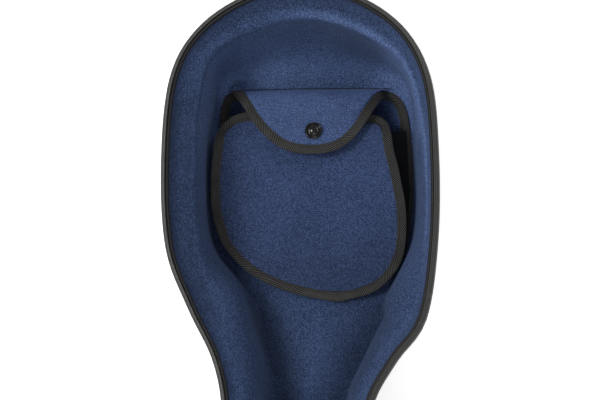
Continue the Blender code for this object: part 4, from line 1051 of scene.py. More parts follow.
def tape_section(width, thick):
    """A flat tape's section as (across, up), with a crowned face and rounded edges."""
    edge = min(0.0012, thick / 2)
    crown = 0.0003
    return [
        (0.0, thick * 0.5), (edge * 0.3, thick - edge * 0.35), (edge, thick - crown * 0.4),
        (width * 0.3, thick), (width * 0.5, thick + crown * 0.3), (width * 0.66, thick + crown * 0.2),
        (width * 0.71, thick - crown * 1.6), (width * 0.76, thick),
        (width - edge, thick - crown * 0.6), (width - edge * 0.2, thick - edge * 0.6), (width, thick * 0.25),
        (width - edge * 0.4, 0.0), (width * 0.5, 0.0), (edge * 0.5, 0.0),
    ]


def tape_rings(path, insides):
    """Binding tape along a path. Its outer edge follows the path, and its width runs along the insides."""
    section = tape_section(TAPE_WIDTH, TAPE_THICK)
    rings = []
    for p, inside in zip(path, insides):
        rings.append([p + inside * across + Vector((0, 0, up)) for across, up in section])
    return rings


def front_height(place):
    """The front panel climbs from its foot to its mouth, steeply first, and its upper corners fold down."""
    share = min(1.0, max(0.0, (place.y - FRONT_Y_RANGE[0]) / (FRONT_Y_RANGE[1] - FRONT_Y_RANGE[0])))
    corner = smooth_step(abs(place.x), *FRONT_CORNER_X) * smooth_step(place.y, *FRONT_CORNER_Y)
    climb = (FRONT_HIGH_Z - FRONT_LOW_Z) * (1 - (1 - share) ** FRONT_BELLY)
    return FRONT_LOW_Z + climb - FRONT_CORNER_FALL * corner


def foot_height(place):
    return POCKET_FOOT_Z


def edge_binding(name, loop, height, wander, join=0.0):
    """The tape round the edge of a panel. join is how far it stands out where its two ends meet."""
    path, insides = [], []
    for p, n in zip(loop, inward_normals(loop)):
        push = wander * noise.noise(Vector((p.x, p.y, 0.0)) * TAPE_WAVES)
        push -= join * math.exp(-(p - TAPE_JOIN_PLACE).length / TAPE_JOIN_SPREAD)
        place = p + n * push
        path.append(Vector((place.x, place.y, height(place))))
        insides.append(Vector((n.x, n.y, 0.0)))
    bm = ring_mesh(tape_rings(path, insides), "joined", along_rows=True)
    add_piece(f"pocket_{name}_tape", bm, TAPE, "base", f"pocket_{name}_binding")


def panel_mesh(loop, height, crown):
    """A cloth-covered board: rings shrink to its middle, and crown(x, y) lifts or lowers its face."""
    edge = [p + n * (TAPE_WIDTH - TAPE_OVERLAP) for p, n in zip(loop, inward_normals(loop))]
    middle = sum(edge, Vector((0, 0))) / len(edge)
    top, under = [], []
    for share in PANEL_SHARES:
        ring = [middle.lerp(p, share) for p in edge]
        top.append([Vector((*p, height(p) + PANEL_THICK + crown(p, 1 - share))) for p in ring])
        under.append([Vector((*p, height(p) + crown(p, 1 - share))) for p in ring])
    return ring_mesh(under[::-1] + top)


def front_sag(point, depth_in):
    """The front panel hangs a little inside its tape, and slacker below the flap."""
    hang = FRONT_HANG * smooth_step(depth_in, 0.0, 0.22)
    slack = FRONT_SLACK * smooth_step(depth_in, 0.0, 0.4) * smooth_step(point.y, 0.45, 0.53)
    return -hang - slack + dent((point.x, point.y, 0.0), *FRONT_DENTS) * smooth_step(depth_in, 0.0, 0.2)


def panel_painted_shade(place, row):
    """Painted shade on the pocket's panels, beside the front panel's left tape and at the foot."""
    beside = smooth_step(-(place.x + 0.12 * abs(place.y - 0.48)), *PAINTED_SHADE_X)
    foot = smooth_step(-place.y, *PAINTED_SHADE_Y)
    return -(PAINTED_SHADE_BESIDE * beside + PAINTED_SHADE_FOOT * foot)


def flap_painted_shade(place, row):
    """Painted shade that darkens the flap towards its tip."""
    return FLAP_TIP_PAINTED_SHADE * smooth_step(-place.y, *FLAP_TIP_Y)


def back_flat(point, depth_in):
    return dent((point.x, point.y, 0.3), *BACK_DENTS) * smooth_step(depth_in, 0.0, 0.2)


def make_gusset(front, back):
    """Pleated black cloth from the back panel up to the front panel, open at the mouth."""
    back_normals = inward_normals(back)
    rings = []
    for point, normal in zip(front, inward_normals(front)):
        if point.y >= MOUTH_Y:
            continue
        nearest = min(range(len(back)), key=lambda i: (back[i] - point).length)
        foot = back[nearest] + back_normals[nearest] * GUSSET_INSET
        head = point + normal * GUSSET_INSET
        foot_z, head_z = POCKET_FOOT_Z + TAPE_THICK * 0.6, front_height(head) + 0.0004
        wall = []
        for share in (k / 8 for k in range(9)):
            fold = GUSSET_BELLY * math.sin(math.pi * share)
            fold += GUSSET_PLEAT * math.sin(3 * math.pi * share + point.y * PLEAT_WAVES)
            place = foot.lerp(head, share) + normal * fold
            wall.append(Vector((*place, foot_z + (head_z - foot_z) * share)))
        rings.append(wall + [p + Vector((*(normal * GUSSET_THICK), 0.0)) for p in reversed(wall)])
    bm = ring_mesh(rings, along_rows=True)
    piece = add_piece("pocket_gusset_cloth", bm, GUSSET_CLOTH, "base", "pocket_gusset")


def flap_path():
    """The flap's edge from its left corner to its right one, on a fine step, with vectors to its inside."""
    path = smooth_path(FLAP_KEYS, 0.0022)
    ways = [way_at(path, i).xy.normalized() for i in range(len(path))]
    return path, [Vector((-way.y, way.x, 0.0)) for way in ways]


def held_at_seam(point):
    """Nothing of the flap passes the seam at its top."""
    return Vector((point.x, min(point.y, SEAM_Y), point.z))


def flap_height(y):
    """The flap rises steeply from its seam and levels out over the mouth."""
    for (y0, z0), (y1, z1) in zip(FLAP_PROFILE, FLAP_PROFILE[1:]):
        if y >= y1:
            return z0 + (z1 - z0) * min(1.0, max(0.0, (y0 - y) / (y0 - y1)))
    return FLAP_PROFILE[-1][1]


def make_flap():
    path, insides = flap_path()
    rings = [[held_at_seam(p) for p in ring] for ring in tape_rings(path, insides)]
    bm = ring_mesh(rings, along_rows=True)
    add_piece("pocket_flap_tape", bm, TAPE, "pocket_flap", "pocket_flap_binding")
    down = Vector((0, 0, -FLAP_THICK))
    rings = []
    for edge in (held_at_seam(p + n * (TAPE_WIDTH - TAPE_OVERLAP)) for p, n in zip(path, insides)):
        column = []
        for share in (k / FLAP_ROWS for k in range(FLAP_ROWS)):
            y = edge.y + (SEAM_Y - edge.y) * share
            z = edge.z + TAPE_THICK - FLAP_TUCK
            full = flap_height(y) + FLAP_THICK + dent((edge.x, y, 0.1), *FLAP_DENTS)
            column.append(Vector((edge.x, y, z + (full - z) * smooth_step(share, 0.0, 0.35))))
        column.append(Vector((edge.x, SEAM_Y, flap_height(SEAM_Y) + 0.0008)))
        rings.append(column + [p + down for p in reversed(column)])
    bm = ring_mesh(rings, along_rows=True)
    piece = add_piece("pocket_flap_cloth", bm, POCKET_VELOUR, "pocket_flap", "pocket_flap", sharp=60)
    mark_painted_light(piece, flap_painted_shade)


def make_snap():
    x, y = SNAP_PLACE
    profile = [
        (0.0, 0.0), (0.0050, 0.0), (0.0078, 0.0001), (0.0085, 0.0005), (SNAP_RADIUS, 0.0009),
        (0.0085, 0.0013), (0.0080, 0.0015), (0.0075, 0.0013), (0.0072, 0.0010), (0.0066, 0.0012),
        (0.0060, 0.0017), (0.0056, 0.0022), (0.0052, 0.0023), (0.0048, 0.0020), (0.0043, 0.0020),
        (0.0036, 0.0023), (0.0026, 0.0027), (0.0014, 0.0029), (0.0, 0.0030),
    ]
    cap = turned(profile, (x, y, SNAP_CAP_Z - 0.0009), UP, 64)
    post = rounded_rod((x, y, 0.0742), (x, y, SNAP_CAP_Z), 0.0026, 0.0, 20)
    socket = rounded_rod((x, y, 0.0738), (x, y, 0.0756), 0.0050, 0.0005, 28)
    add_piece("snap_cap_button", join_meshes([cap, post, socket]), SNAP_ENAMEL, "pocket_flap", "snap_cap")
    low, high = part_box("snap_stud")
    profile = [(0.0, 0.0), (0.0045, 0.0), (0.0045, 0.0004), (0.0026, 0.0008), (0.0022, 0.0014),
               (0.0024, 0.0020), (0.0018, 0.0022), (0.0, 0.0022)]
    stud = turned(profile, (*((low + high) / 2).xy, low.z), UP, 32)
    add_piece("snap_stud_button", stud, STEEL, "base", "snap_stud")


def make_pocket():
    front = smooth_path(FRONT_KEYS, POCKET_STEP, closed=True)
    back = smooth_path(BACK_KEYS, POCKET_STEP, closed=True)
    edge_binding("back", back, foot_height, BACK_TAPE_WANDER)
    edge_binding("front", front, front_height, FRONT_TAPE_WANDER, TAPE_JOIN_REACH)
    for name, loop, height, crown in (
        ("pocket_front", front, front_height, front_sag), ("pocket_back", back, foot_height, back_flat),
    ):
        bm = panel_mesh(loop, height, crown)
        piece = add_piece(f"{name}_cloth", bm, SHADED_POCKET_VELOUR, "base", name, sharp=60)
        mark_painted_light(piece, panel_painted_shade)
    make_gusset(front, back)
    seam = [Vector((x, SEAM_Y + out, SEAM_THREAD_Z)) for x, out in SEAM_WAVE]
    add_piece("pocket_seam_thread", tube(smooth_path(seam, 0.006), 0.0004, 8), GUSSET_CLOTH, "base")
    make_flap()
    make_snap()


# Foam pieces inside


def rounded_corners(corners, radii, steps):
    """Corners rounded off one by one. A radius of nothing keeps the corner's own point."""
    points = [Vector(c) for c in corners]
    rounded = []
    for i, (corner, radius) in enumerate(zip(points, radii)):
        if not radius:
            rounded.append(corner)
            continue
        before, after = points[i - 1] - corner, points[(i + 1) % len(points)] - corner
        reach = min(radius, before.length / 2, after.length / 2)
        start, end = corner + before.normalized() * reach, corner + after.normalized() * reach
        for t in (k / steps for k in range(steps + 1)):
            rounded.append(start.lerp(corner, t).lerp(corner.lerp(end, t), t))
    return rounded


def rounded_section(corners, radius, steps=4):
    """A closed 2-D section with its corners rounded off. radius may be a list of one number a corner."""
    return rounded_corners(corners, [radius] * len(corners) if isinstance(radius, float) else radius, steps)


def section_normals(section):
    """Unit vectors that point into a section, whichever way round it runs."""
    area = sum(section[i - 1].cross(section[i]) for i in range(len(section)))
    sign = 1 if area > 0 else -1
    ways = [way_at(section, i, True) for i in range(len(section))]
    return [Vector((-way.y, way.x)).normalized() * sign for way in ways]


def soft_block(section, place, low, high, radius, steps=5, rows=8):
    """A block with a rounded section and rounded ends. place(s, a, b) gives a point s along it."""
    section = [p for i, p in enumerate(section) if (p - section[i - 1]).length > 1e-6]
    stops = []
    for angle in (math.pi / 2 * k / steps for k in range(steps + 1)):
        stops.append((low + radius * (1 - math.cos(angle)), radius * (1 - math.sin(angle))))
    inner = [(low + radius + (high - low - 2 * radius) * k / rows, 0.0) for k in range(1, rows)]
    ends = [(low + high - s, inset) for s, inset in reversed(stops)]
    rings = []
    for s, inset in stops + inner + ends:
        rings.append([place(s, *(p + n * inset)) for p, n in zip(section, section_normals(section))])
    return ring_mesh(rings)


BOW_REST_Y = -0.500
FOAM_ROUND = 0.0034
CRADLE_ROUND = 0.0021
PAD_END_INSET = 0.012
PAD_END_REACH = 0.016
PUFF_MOST = 0.0016
PUFF_VOXEL = 0.005
PUFF_PRESSURE = 4.0
PUFF_FRAMES = 20


def puff(bm):
    """Blows a piece up by cloth simulation, no point by more than a limit."""
    soft = object_from("padding", bm)
    scene = bpy.context.scene
    remesh = soft.modifiers.new("remesh", "REMESH")
    remesh.mode = "VOXEL"
    remesh.voxel_size = PUFF_VOXEL
    even = with_modifiers(soft)
    soft.modifiers.clear()
    soft.data = even
    rest = [v.co.copy() for v in even.vertices]
    cloth = soft.modifiers.new("cloth", "CLOTH")
    cloth.settings.use_pressure = True
    cloth.settings.uniform_pressure_force = PUFF_PRESSURE
    cloth.settings.effector_weights.gravity = 0.0
    cloth.point_cache.frame_start, cloth.point_cache.frame_end = 1, PUFF_FRAMES
    for step in range(1, PUFF_FRAMES + 1):
        scene.frame_set(step)
    swollen = bmesh.new()
    swollen.from_mesh(with_modifiers(soft))
    for vert, start in zip(swollen.verts, rest):
        push = vert.co - start
        if push.length > PUFF_MOST:
            vert.co = start + push.normalized() * PUFF_MOST
    bmesh.ops.smooth_vert(
        swollen, verts=swollen.verts, factor=0.5, use_axis_x=True, use_axis_y=True, use_axis_z=True
    )
    bmesh.ops.subdivide_edges(swollen, edges=swollen.edges, cuts=1, use_grid_fill=True, smooth=0.6)
    bpy.data.objects.remove(soft)
    scene.frame_set(1)
    return swollen


def wall_stretch(low_y, high_y, left):
    """Points of the outline and their inward normals along one side."""
    pairs = zip(OUTLINE, OUTLINE_NORMALS)
    return [(p, n) for p, n in pairs if low_y <= p.y <= high_y and (p.x < 0) == left]


def make_bout_pad(name, low_y, high_y, height, side):
    """A wedge pad beside a bout, which narrows towards its rounded ends."""
    stretch = wall_stretch(low_y, high_y, side == "left")
    top = FLOOR_Z + height
    corners = [(0.0362, FLOOR_Z + 0.0016), (0.0345, top - 0.001), (0.0460, top - 0.001),
               (0.0845, FLOOR_Z + 0.0075), (0.0855, FLOOR_Z + 0.0016)]
    section = rounded_section(corners, [0.004, 0.006, 0.010, 0.005, 0.002])
    normals = section_normals(section)
    lengths = running_lengths([p for p, n in stretch], False)
    rings = []
    for (point, normal), run in zip(stretch, lengths):
        near = min(run, lengths[-1] - run)
        inset = PAD_END_INSET * (1 - math.sqrt(1 - (1 - min(1.0, near / PAD_END_REACH)) ** 2))
        shrunk = [p + n * inset for p, n in zip(section, normals)]
        rings.append([Vector((*(point + normal * q.x), q.y)) for q in shrunk])
    add_pad(f"{name}_bout_pad_{side}", puff(ring_mesh(rings)), sharp=70)


def along_y(s, a, b):
    return Vector((a, s, b))


def make_neck_cradle():
    low_y, high_y = 0.185, 0.235
    foot, top = FLOOR_Z + 0.0005, FLOOR_Z + 0.044
    groove, centre_z = 0.020, top + 0.004
    corners = [(-0.0236, foot), (0.0236, foot), (0.0355, top)]
    radii = [0.0055, 0.0055, 0.0050]
    reach = math.asin((centre_z - top) / groove)
    for k in range(9):
        angle = -reach - (math.pi - 2 * reach) * k / 8
        corners.append((groove * math.cos(angle), centre_z + groove * math.sin(angle)))
        radii.append(0.0045 if k in (0, 8) else 0.0035)
    corners.append((-0.0355, top))
    radii.append(0.0050)
    section = rounded_section(corners, radii, 3)
    cradle = soft_block(section, along_y, low_y, high_y, CRADLE_ROUND)
    add_pad("neck_cradle", cradle)

    arch = [(-0.0375, 0.0008), (-0.033, 0.0008), (-0.026, 0.0015), (-0.021, 0.0058), (-0.016, 0.0102),
            (-0.008, 0.0132)]
    arch += [(0.0, 0.0140)] + [(-x, z) for x, z in reversed(arch)]
    rings = []
    for point in smooth_path(arch, 0.0015):
        section = tape_section(0.030, 0.0020)
        rings.append([Vector((point.x, 0.195 + across, top + point.y + up)) for across, up in section])
    add_piece("neck_strap_webbing", ring_mesh(rings, along_rows=True), WEBBING, "neck_strap", "neck_strap")


def make_endpin_block():
    low_y, high_y = -0.6205, -0.598
    foot, top, half, notch = FLOOR_Z + 0.0005, FLOOR_Z + 0.0615, 0.0475, 0.012
    low = top - 0.024
    corners = [(-half, foot), (half, foot), (half, top), (notch, top), (notch, low), (-notch, low),
               (-notch, top), (-half, top)]
    section = rounded_section(corners, [0.006, 0.006, 0.009, 0.0055, 0.005, 0.005, 0.0055, 0.009])
    add_pad("endpin_block", soft_block(section, along_y, low_y, high_y, FOAM_ROUND))


def make_bow_holders():
    spacing, slot, half_length = 0.085, 0.009, 0.018
    foot, top = FLOOR_Z + 0.0006, 0.060
    groove = top - 0.016
    half = 0.1245
    corners = [(-half, foot), (half, foot), (half, top)]
    radii = [0.006, 0.006, 0.008]
    for x in (spacing, -spacing):
        corners += [(x + slot, top), (x + slot, groove), (x - slot, groove), (x - slot, top)]
        radii += [0.0055, 0.004, 0.004, 0.0055]
    corners.append((-half, top))
    radii.append(0.008)
    section = [Vector((LID_X + p.x, p.y)) for p in rounded_section(corners, radii)]
    rest = soft_block(section, along_y, BOW_REST_Y - half_length, BOW_REST_Y + half_length, FOAM_ROUND)
    add_pad("bow_rest", rest, "lid")

    low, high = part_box("bow_tip_sleeve")
    section = rounded_section(rectangle(low.x, low.z, high.x, high.z), [0.006, 0.006, 0.009, 0.009])
    cutters = []
    for x in (LID_X - spacing, LID_X + spacing):
        start, end = (x - slot, low.y - 0.02, top - 0.022), (x + slot, high.y + 0.02, top - 0.004)
        cutters.append(rounded_box(start, end, 0.004))
    sleeve = soft_block(section, along_y, low.y, high.y, FOAM_ROUND)
    add_pad("bow_tip_sleeve", cut_away(sleeve, cutters), "lid")

    profile = [(0.0, 0.0003), (0.0065, 0.0003), (0.0070, 0.0008), (0.0070, 0.0072), (0.0064, 0.0079),
               (0.0030, 0.0080), (0.0026, 0.0070), (0.0, 0.0070)]
    for name, sign in (("bow_spinner_left", -1), ("bow_spinner_right", 1)):
        x = LID_X + sign * (spacing - 0.020)
        low_x, high_x = sorted(x + sign * reach for reach in (-0.010, 0.036))
        corners = rectangle(low_x, BOW_REST_Y - 0.008, high_x, BOW_REST_Y + 0.008)
        ring = [(*p, top + 0.0041) for p in rounded_section(corners, 0.0075, 6)]
        parts = [turned(profile, (x, BOW_REST_Y, top), UP, 32), rounded_prism(ring, (0, 0, 0.0028), 0.0)]
        add_piece(f"{name}_catch", join_meshes(parts), HARD_PLASTIC, name, name)


def cut_away(bm, cutters):
    """Takes shapes out of a body with Boolean modifiers."""
    body = object_from("body", bm)
    tools = [object_from("tool", cutter) for cutter in cutters]
    for tool in tools:
        cut = body.modifiers.new("cut", "BOOLEAN")
        cut.operation = "DIFFERENCE"
        cut.solver = "EXACT"
        cut.object = tool
    made = with_modifiers(body)
    for gone in [body, *tools]:
        bpy.data.objects.remove(gone)
    result = bmesh.new()
    result.from_mesh(made)
    bpy.data.meshes.remove(made)
    return result


# Hinges, latches, handles, wheels and feet


def rivet(place, outward, radius=0.0022, height=0.0009):
    """A domed rivet head."""
    profile = [(0.0, -0.0004), (radius, -0.0004), (radius, 0.0002)]
    for angle in (math.pi / 8 * k for k in range(1, 4)):
        profile.append((radius * math.cos(angle), 0.0002 + height * math.sin(angle)))
    profile.append((0.0, 0.0002 + height))
    return turned(profile, place, outward, 16)


def rivets_on(u, places, radius, height):
    """Rivets on a plate that faces along u, at places given as (v, w)."""
    return [rivet((u, v, w), ACROSS, radius, height) for v, w in places]


def make_hinge(number, y):
    """Two leaves on the outsides of the walls, and rolled knuckles round one pin."""
    half, third, gap = 0.025, 0.050 / 6, 0.0002
    for half_name, side in (("base", -1), ("lid", 1)):
        face = HINGE_X + side * (HINGE_X - STRAIGHT_SIDE_X - 0.0003)
        thick = -side * 0.0015
        corners = rectangle(y - half, RIM_Z - 0.040, y + half, RIM_Z - 0.003)
        parts = [plate_across(rounded_section(corners, [0.006, 0.006, 0.0008, 0.0008], 5), face, thick)]
        outer, inner = [(face, RIM_Z - 0.012)], [(face + thick, RIM_Z - 0.012)]
        for angle in (math.radians(a) for a in range(-12, 215, 12)):
            turn_x, turn_z = -side * math.cos(angle), math.sin(angle)
            outer.append((HINGE_X + turn_x * 0.0045, HINGE_Z + turn_z * 0.0045))
            inner.append((HINGE_X + turn_x * 0.0024, HINGE_Z + turn_z * 0.0024))
        spans = [(-half, -third - gap), (third + gap, half)] if side < 0 else [(gap - third, third - gap)]
        parts += [bar_along(outer + inner[:0:-1], y + low, high - low) for low, high in spans]
        if side < 0:
            start, end = ((HINGE_X, y + sign * (half - 0.0006), HINGE_Z) for sign in (-1, 1))
            parts.append(rounded_rod(start, end, 0.0020, 0.0004, 20))
        for v, w in ((-0.018, 0.020), (-0.018, 0.034), (0.0, 0.034), (0.018, 0.020), (0.018, 0.034)):
            parts.append(rivet((face + thick, y + v, RIM_Z - w), (-side, 0, 0)))
        name = f"hinge_{half_name}"
        add_piece(f"{name}_{number}_steel", join_meshes(parts), STEEL, half_name, f"{name}_leaf_{number}")


def joint_frame(joint, pivot, flip=1):
    """A frame on the rim's edge at a joint: u outward, v along the edge, w up from the rim plane."""
    found = next(j for j in frame["joints"] if j["name"] == joint)
    v, w = Vector(found["axis"]) * flip, Vector(UP)
    u = v.cross(w)
    turn = Matrix((u, v, w)).transposed().to_4x4()
    return Matrix.Translation(Vector(found["pos_m"]) - u * pivot[0] - w * pivot[1]) @ turn


def arc(centre, radii, start, end, steps=8):
    """Points on an arc from one angle to another, in degrees. radii has one number for each direction."""
    points = []
    for angle in (math.radians(start + (end - start) * k / steps) for k in range(steps + 1)):
        points.append((centre[0] + radii[0] * math.cos(angle), centre[1] + radii[1] * math.sin(angle)))
    return points


def latch_plate(u, w):
    ring = rounded_section(rectangle(-0.019, -0.056, 0.019, -0.010), [0.007, 0.007, 0.004, 0.004], 5)
    parts = [plate_across(ring, 0.0004, 0.0018, 0.0005)]
    ear = [(0.0018, -0.033), (0.0018, -0.0185), *arc((u, w), (0.0026, 0.0026), 105, -90)]
    parts += [bar_along(ear, low_v, 0.0020, 0.0002, 1) for low_v in (-0.0082, 0.0062)]
    parts.append(rounded_rod((u, -0.0117, w), (u, 0.0117, w), 0.0014, 0.0003, 16))
    places = [(-0.0155, -0.016), (0.0155, -0.016), (-0.0130, -0.0515), (0.0130, -0.0515)]
    return parts + rivets_on(0.0022, places, 0.0020, 0.0007)


def latch_lever(u, w):
    face, half, top, foot = u + 0.0032, 0.0114, w + 0.0032, w - 0.038
    head = w - 0.0050
    outline = [(-half, head), (-half, foot + 0.006), (-half + 0.0035, foot), (half - 0.0035, foot),
               (half, foot + 0.006), (half, head)]
    ring = rounded_section(outline, [0.0012, 0.004, 0.0035, 0.0035, 0.004, 0.0012], 4)
    parts = [plate_across(ring, face, 0.0016, 0.0005)]
    cheek = [(face + 0.0004, top), (face + 0.0004, w - 0.026), (u - 0.0005, w - 0.018),
             (u - 0.0035, w - 0.016), (u - 0.0035, top)]
    ring = rounded_section(cheek, [0.0004, 0.002, 0.003, 0.0015, 0.0015], 3)
    parts += [bar_along(ring, low_v, 0.0022, 0.0003, 1) for low_v in (-half, half - 0.0022)]
    for rib in (foot + 0.0065, foot + 0.0105):
        low, high = (face + 0.0010, -0.0070, rib), (face + 0.0022, 0.0070, rib + 0.0020)
        parts.append(rounded_box(low, high, 0.0005))
    return parts


def latch_loop(u, w):
    """The wire's path: from one end in the lever down round the loop to the other."""
    wide, drop, pivot_w = 0.0134, 0.0407, w - 0.013
    corners = [(wide - 0.0036, 0.0), (wide, 0.0), (wide, -drop), (-wide, -drop), (-wide, 0.0),
               (-wide + 0.0036, 0.0)]
    wire = rounded_corners(corners, [0.0, 0.0018, 0.0042, 0.0042, 0.0018, 0.0], 6)
    return [Vector((u, p.x, pivot_w + p.y)) for p in wire]


def latch_keeper():
    strip = [(0.0004, 0.0020), (0.0070, 0.0031), (0.0085, 0.0038), (0.0087, 0.0052), (0.0080, 0.0062),
             (0.0072, 0.0059), (0.0062, 0.0052), (0.0030, 0.0048), (0.0018, 0.0060), (0.0018, 0.0220),
             (0.0004, 0.0220)]
    places = [(-0.0055, 0.0165), (0.0055, 0.0165)]
    return [bar_along(strip, -0.0090, 0.0180), *rivets_on(0.0018, places, 0.0018, 0.0007)]


def make_latch(name):
    """A draw latch on the base, and its keeper on the lid, which is drawn as on the closed case."""
    place = joint_frame(f"lever_{name}_hinge", LATCH_PIVOT)
    hinge = Matrix.Translation((HINGE_X, 0, HINGE_Z))
    opened = hinge @ Matrix.Rotation(math.pi, 4, "Y") @ hinge.inverted() @ place
    for part, body, bm, ending, frame_of_part in (
        ("plate", "base", join_meshes(latch_plate(*LATCH_PIVOT)), "steel", place),
        ("lever", f"lever_{name}", join_meshes(latch_lever(*LATCH_PIVOT)), "steel", place),
        ("loop", f"loop_{name}", tube(latch_loop(*LATCH_PIVOT), 0.0014, 14), "wire", place),
        ("keeper", "lid", join_meshes(latch_keeper()), "steel", opened),
    ):
        add_piece(f"latch_{part}_{name}_{ending}", bm, STEEL, body, f"latch_{part}_{name}", frame_of_part)


def make_side_handle():
    u, w, span = 0.010, -0.040, 0.056
    place = joint_frame("side_handle_hinge", (u, w), -1)
    end = span + 0.022
    ring = rounded_section(rectangle(-end, w - 0.016, end, w + 0.016), 0.012, 6)
    parts = [plate_across(ring, -0.0014, 0.0032, 0.0009)]
    lug = [(0.001, w - 0.0105), *arc((u - 0.0012, w), (0.0072, 0.0078), -80, 80), (0.001, w + 0.0105)]
    for sign in (-1, 1):
        low_v, high_v = sorted(sign * (span + v) for v in (0.0064, 0.0134))
        parts.append(bar_along(lug, low_v, high_v - low_v, 0.0008))
        start, end = ((u, sign * (span + v), w) for v in (-0.004, 0.0145))
        parts.append(rounded_rod(start, end, 0.0025, 0.0006, 20))
        places = [(sign * (span + 0.0175), w), (sign * (span - 0.020), w + 0.0105)]
        parts += rivets_on(0.0018, places, 0.0026, 0.0011)
    bm = join_meshes(parts)
    add_piece("side_handle_plate_moulding", bm, HARD_PLASTIC, "base", "side_handle_plate", place)

    keys = [(span, -0.0058, 0.0046), (span, -0.0050, 0.0055), (span, -0.0030, 0.0058), (span, 0.004, 0.0058),
            (span, 0.022, 0.0058), (span - 0.0015, 0.031, 0.0060), (span - 0.0062, 0.0385, 0.0067),
            (span - 0.0135, 0.0430, 0.0080), (span - 0.024, 0.044, 0.0093)]
    half = smooth_path(keys, 0.003)
    grip_half, count = span - 0.026, 24
    middle = []
    for k in range(count + 1):
        middle.append(Vector((grip_half - 2 * grip_half * k / count, 0.044, 0.0095 if k % 2 else 0.0088)))
    keys = half + middle + [Vector((-p.x, p.y, p.z)) for p in reversed(half)]
    bail = tube([Vector((u, p.x, w - p.y)) for p in keys], [p.z for p in keys], 24)
    add_piece("side_handle_grip_bail", bail, RUBBER, "side_handle", "side_handle_grip", place)


def handle_band(path, reach, half_thick, low_z, high_z, corner, swell=0.0):
    """A band along part of a path. With a swell it is a grip, which narrows at both ends."""
    rings = []
    for i in reach:
        way = way_at(path, i).normalized()
        out = Vector((way.y, -way.x))
        share = (i - reach[0]) / (reach[-1] - reach[0])
        round_off = 1 - max(0.0, 1 - min(share, 1 - share) / 0.06) ** 2 if swell else 1.0
        half = half_thick * (0.62 + 0.38 * round_off) + swell * math.sin(math.pi * share)
        corners = [(half, low_z), (half, high_z), (-half, high_z), (-half, low_z)]
        rings.append([Vector((*(path[i] + out * p.x), p.y)) for p in rounded_section(corners, corner, 4)])
    return ring_mesh(rings, along_rows=True)


def make_head_handle():
    keys = [(0.074, 0.640), (0.066, 0.6475), (0.058, 0.6535), (0.050, 0.662), (0.0455, 0.676), (0.041, 0.690),
            (0.027, 0.7035), (0.012, 0.7065), (0.0, 0.7070)]
    keys += [(-x, y) for x, y in reversed(keys[:-1])]
    path = smooth_path(keys, 0.004)
    low, high = 0.028, 0.050
    strap = handle_band(path, range(len(path)), 0.0014, low, high, 0.0006)
    add_piece("head_handle_webbing", strap, WEBBING, "base", "head_handle_strap")
    inside = [i for i, p in enumerate(path) if abs(p.x) <= 0.041]
    grip = handle_band(path, inside, 0.0050, low - 0.004, high + 0.004, 0.0030, 0.0001)
    add_piece("head_handle_grip_sleeve", grip, RUBBER, "base", "head_handle_grip")


def make_wheel(side, x):
    y, z, radius, half = -0.693, 0.031, 0.026, 0.010
    block = rounded_section([(-0.6655, 0.006), (-0.6655, 0.064), (-0.6400, 0.064), (-0.6400, 0.006)],
                            [0.004, 0.004, 0.001, 0.001], 4)
    housing = [soft_block(block, lambda s, a, b: Vector((s, a, b)), x - 0.021, x + 0.021, 0.003)]
    cheek = [(-0.6645, 0.010), (-0.690, 0.016), (-0.7035, 0.024), (-0.7035, 0.038), (-0.690, 0.048),
             (-0.6645, 0.060)]
    ring = rounded_section(cheek, [0.001, 0.010, 0.008, 0.008, 0.010, 0.001], 5)
    for low in (x - half - 0.0075, x + half + 0.0015):
        housing.append(plate_across(ring, low, 0.006, 0.0010))
    housing.append(rounded_rod((x - half - 0.0078, y, z), (x + half + 0.0078, y, z), 0.004, 0.0008, 28))
    name = f"wheel_housing_{side}"
    add_piece(f"{name}_moulding", join_meshes(housing), HARD_PLASTIC, "base", name)

    name = f"wheel_{side}"
    bore, hub = 0.0044, 0.0165
    tread = [(hub, -0.0088), (0.0205, -0.0100), (0.0240, -0.0096), (0.0256, -0.0078), (radius, -0.0050)]
    for low in (-0.0036, -0.0004, 0.0028):
        tread += [(radius, low), (0.0250, low + 0.0003), (0.0250, low + 0.0009), (radius, low + 0.0012)]
    tread += [(radius, 0.0058), (0.0256, 0.0078), (0.0240, 0.0096), (0.0205, 0.0100), (hub, 0.0088)]
    add_piece(f"{name}_tyre", turned_ring(tread, (x, y, z), ACROSS, 72), RUBBER, name, name)
    disc = [(bore, 0.0098), (0.0072, 0.0098), (0.0078, 0.0090), (0.0084, 0.0062), (0.0150, 0.0058),
            (0.0158, 0.0084), (0.0164, 0.0086)]
    disc = [(r, -h) for r, h in disc] + disc[::-1]
    parts = [turned_ring(disc, (x, y, z), ACROSS, 60)]
    for turn in (Matrix.Rotation(math.tau * k / 5, 4, "X") for k in range(5)):
        spoke = rounded_box((-0.0082, -0.0011, 0.0076), (0.0082, 0.0011, 0.0158), 0.0006)
        spoke.transform(Matrix.Translation((x, y, z)) @ turn)
        parts.append(spoke)
    add_piece(f"{name}_hub", join_meshes(parts), HARD_PLASTIC, name)


def make_foot(name, x):
    """A rubber buffer with grip rings, which stands on the end of the lid."""
    low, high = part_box(name)
    deep = high.y - low.y
    profile = [(0.0, 0.0), (0.0148, 0.0), (0.0150, 0.0012), (0.0160, deep * 0.45), (0.0160, deep - 0.0085)]
    for at in (deep - 0.0068, deep - 0.0046):
        profile += [(0.0160, at), (0.0152, at + 0.0004), (0.0152, at + 0.0010), (0.0160, at + 0.0014)]
    profile += [(0.0158, deep - 0.0018), (0.0146, deep - 0.0005), (0.0132, deep), (0.0, deep)]
    buffer = turned(profile, (x, high.y, 0.060), (0, -1, 0))
    add_piece(f"{name}_buffer", buffer, RUBBER, "lid", name)


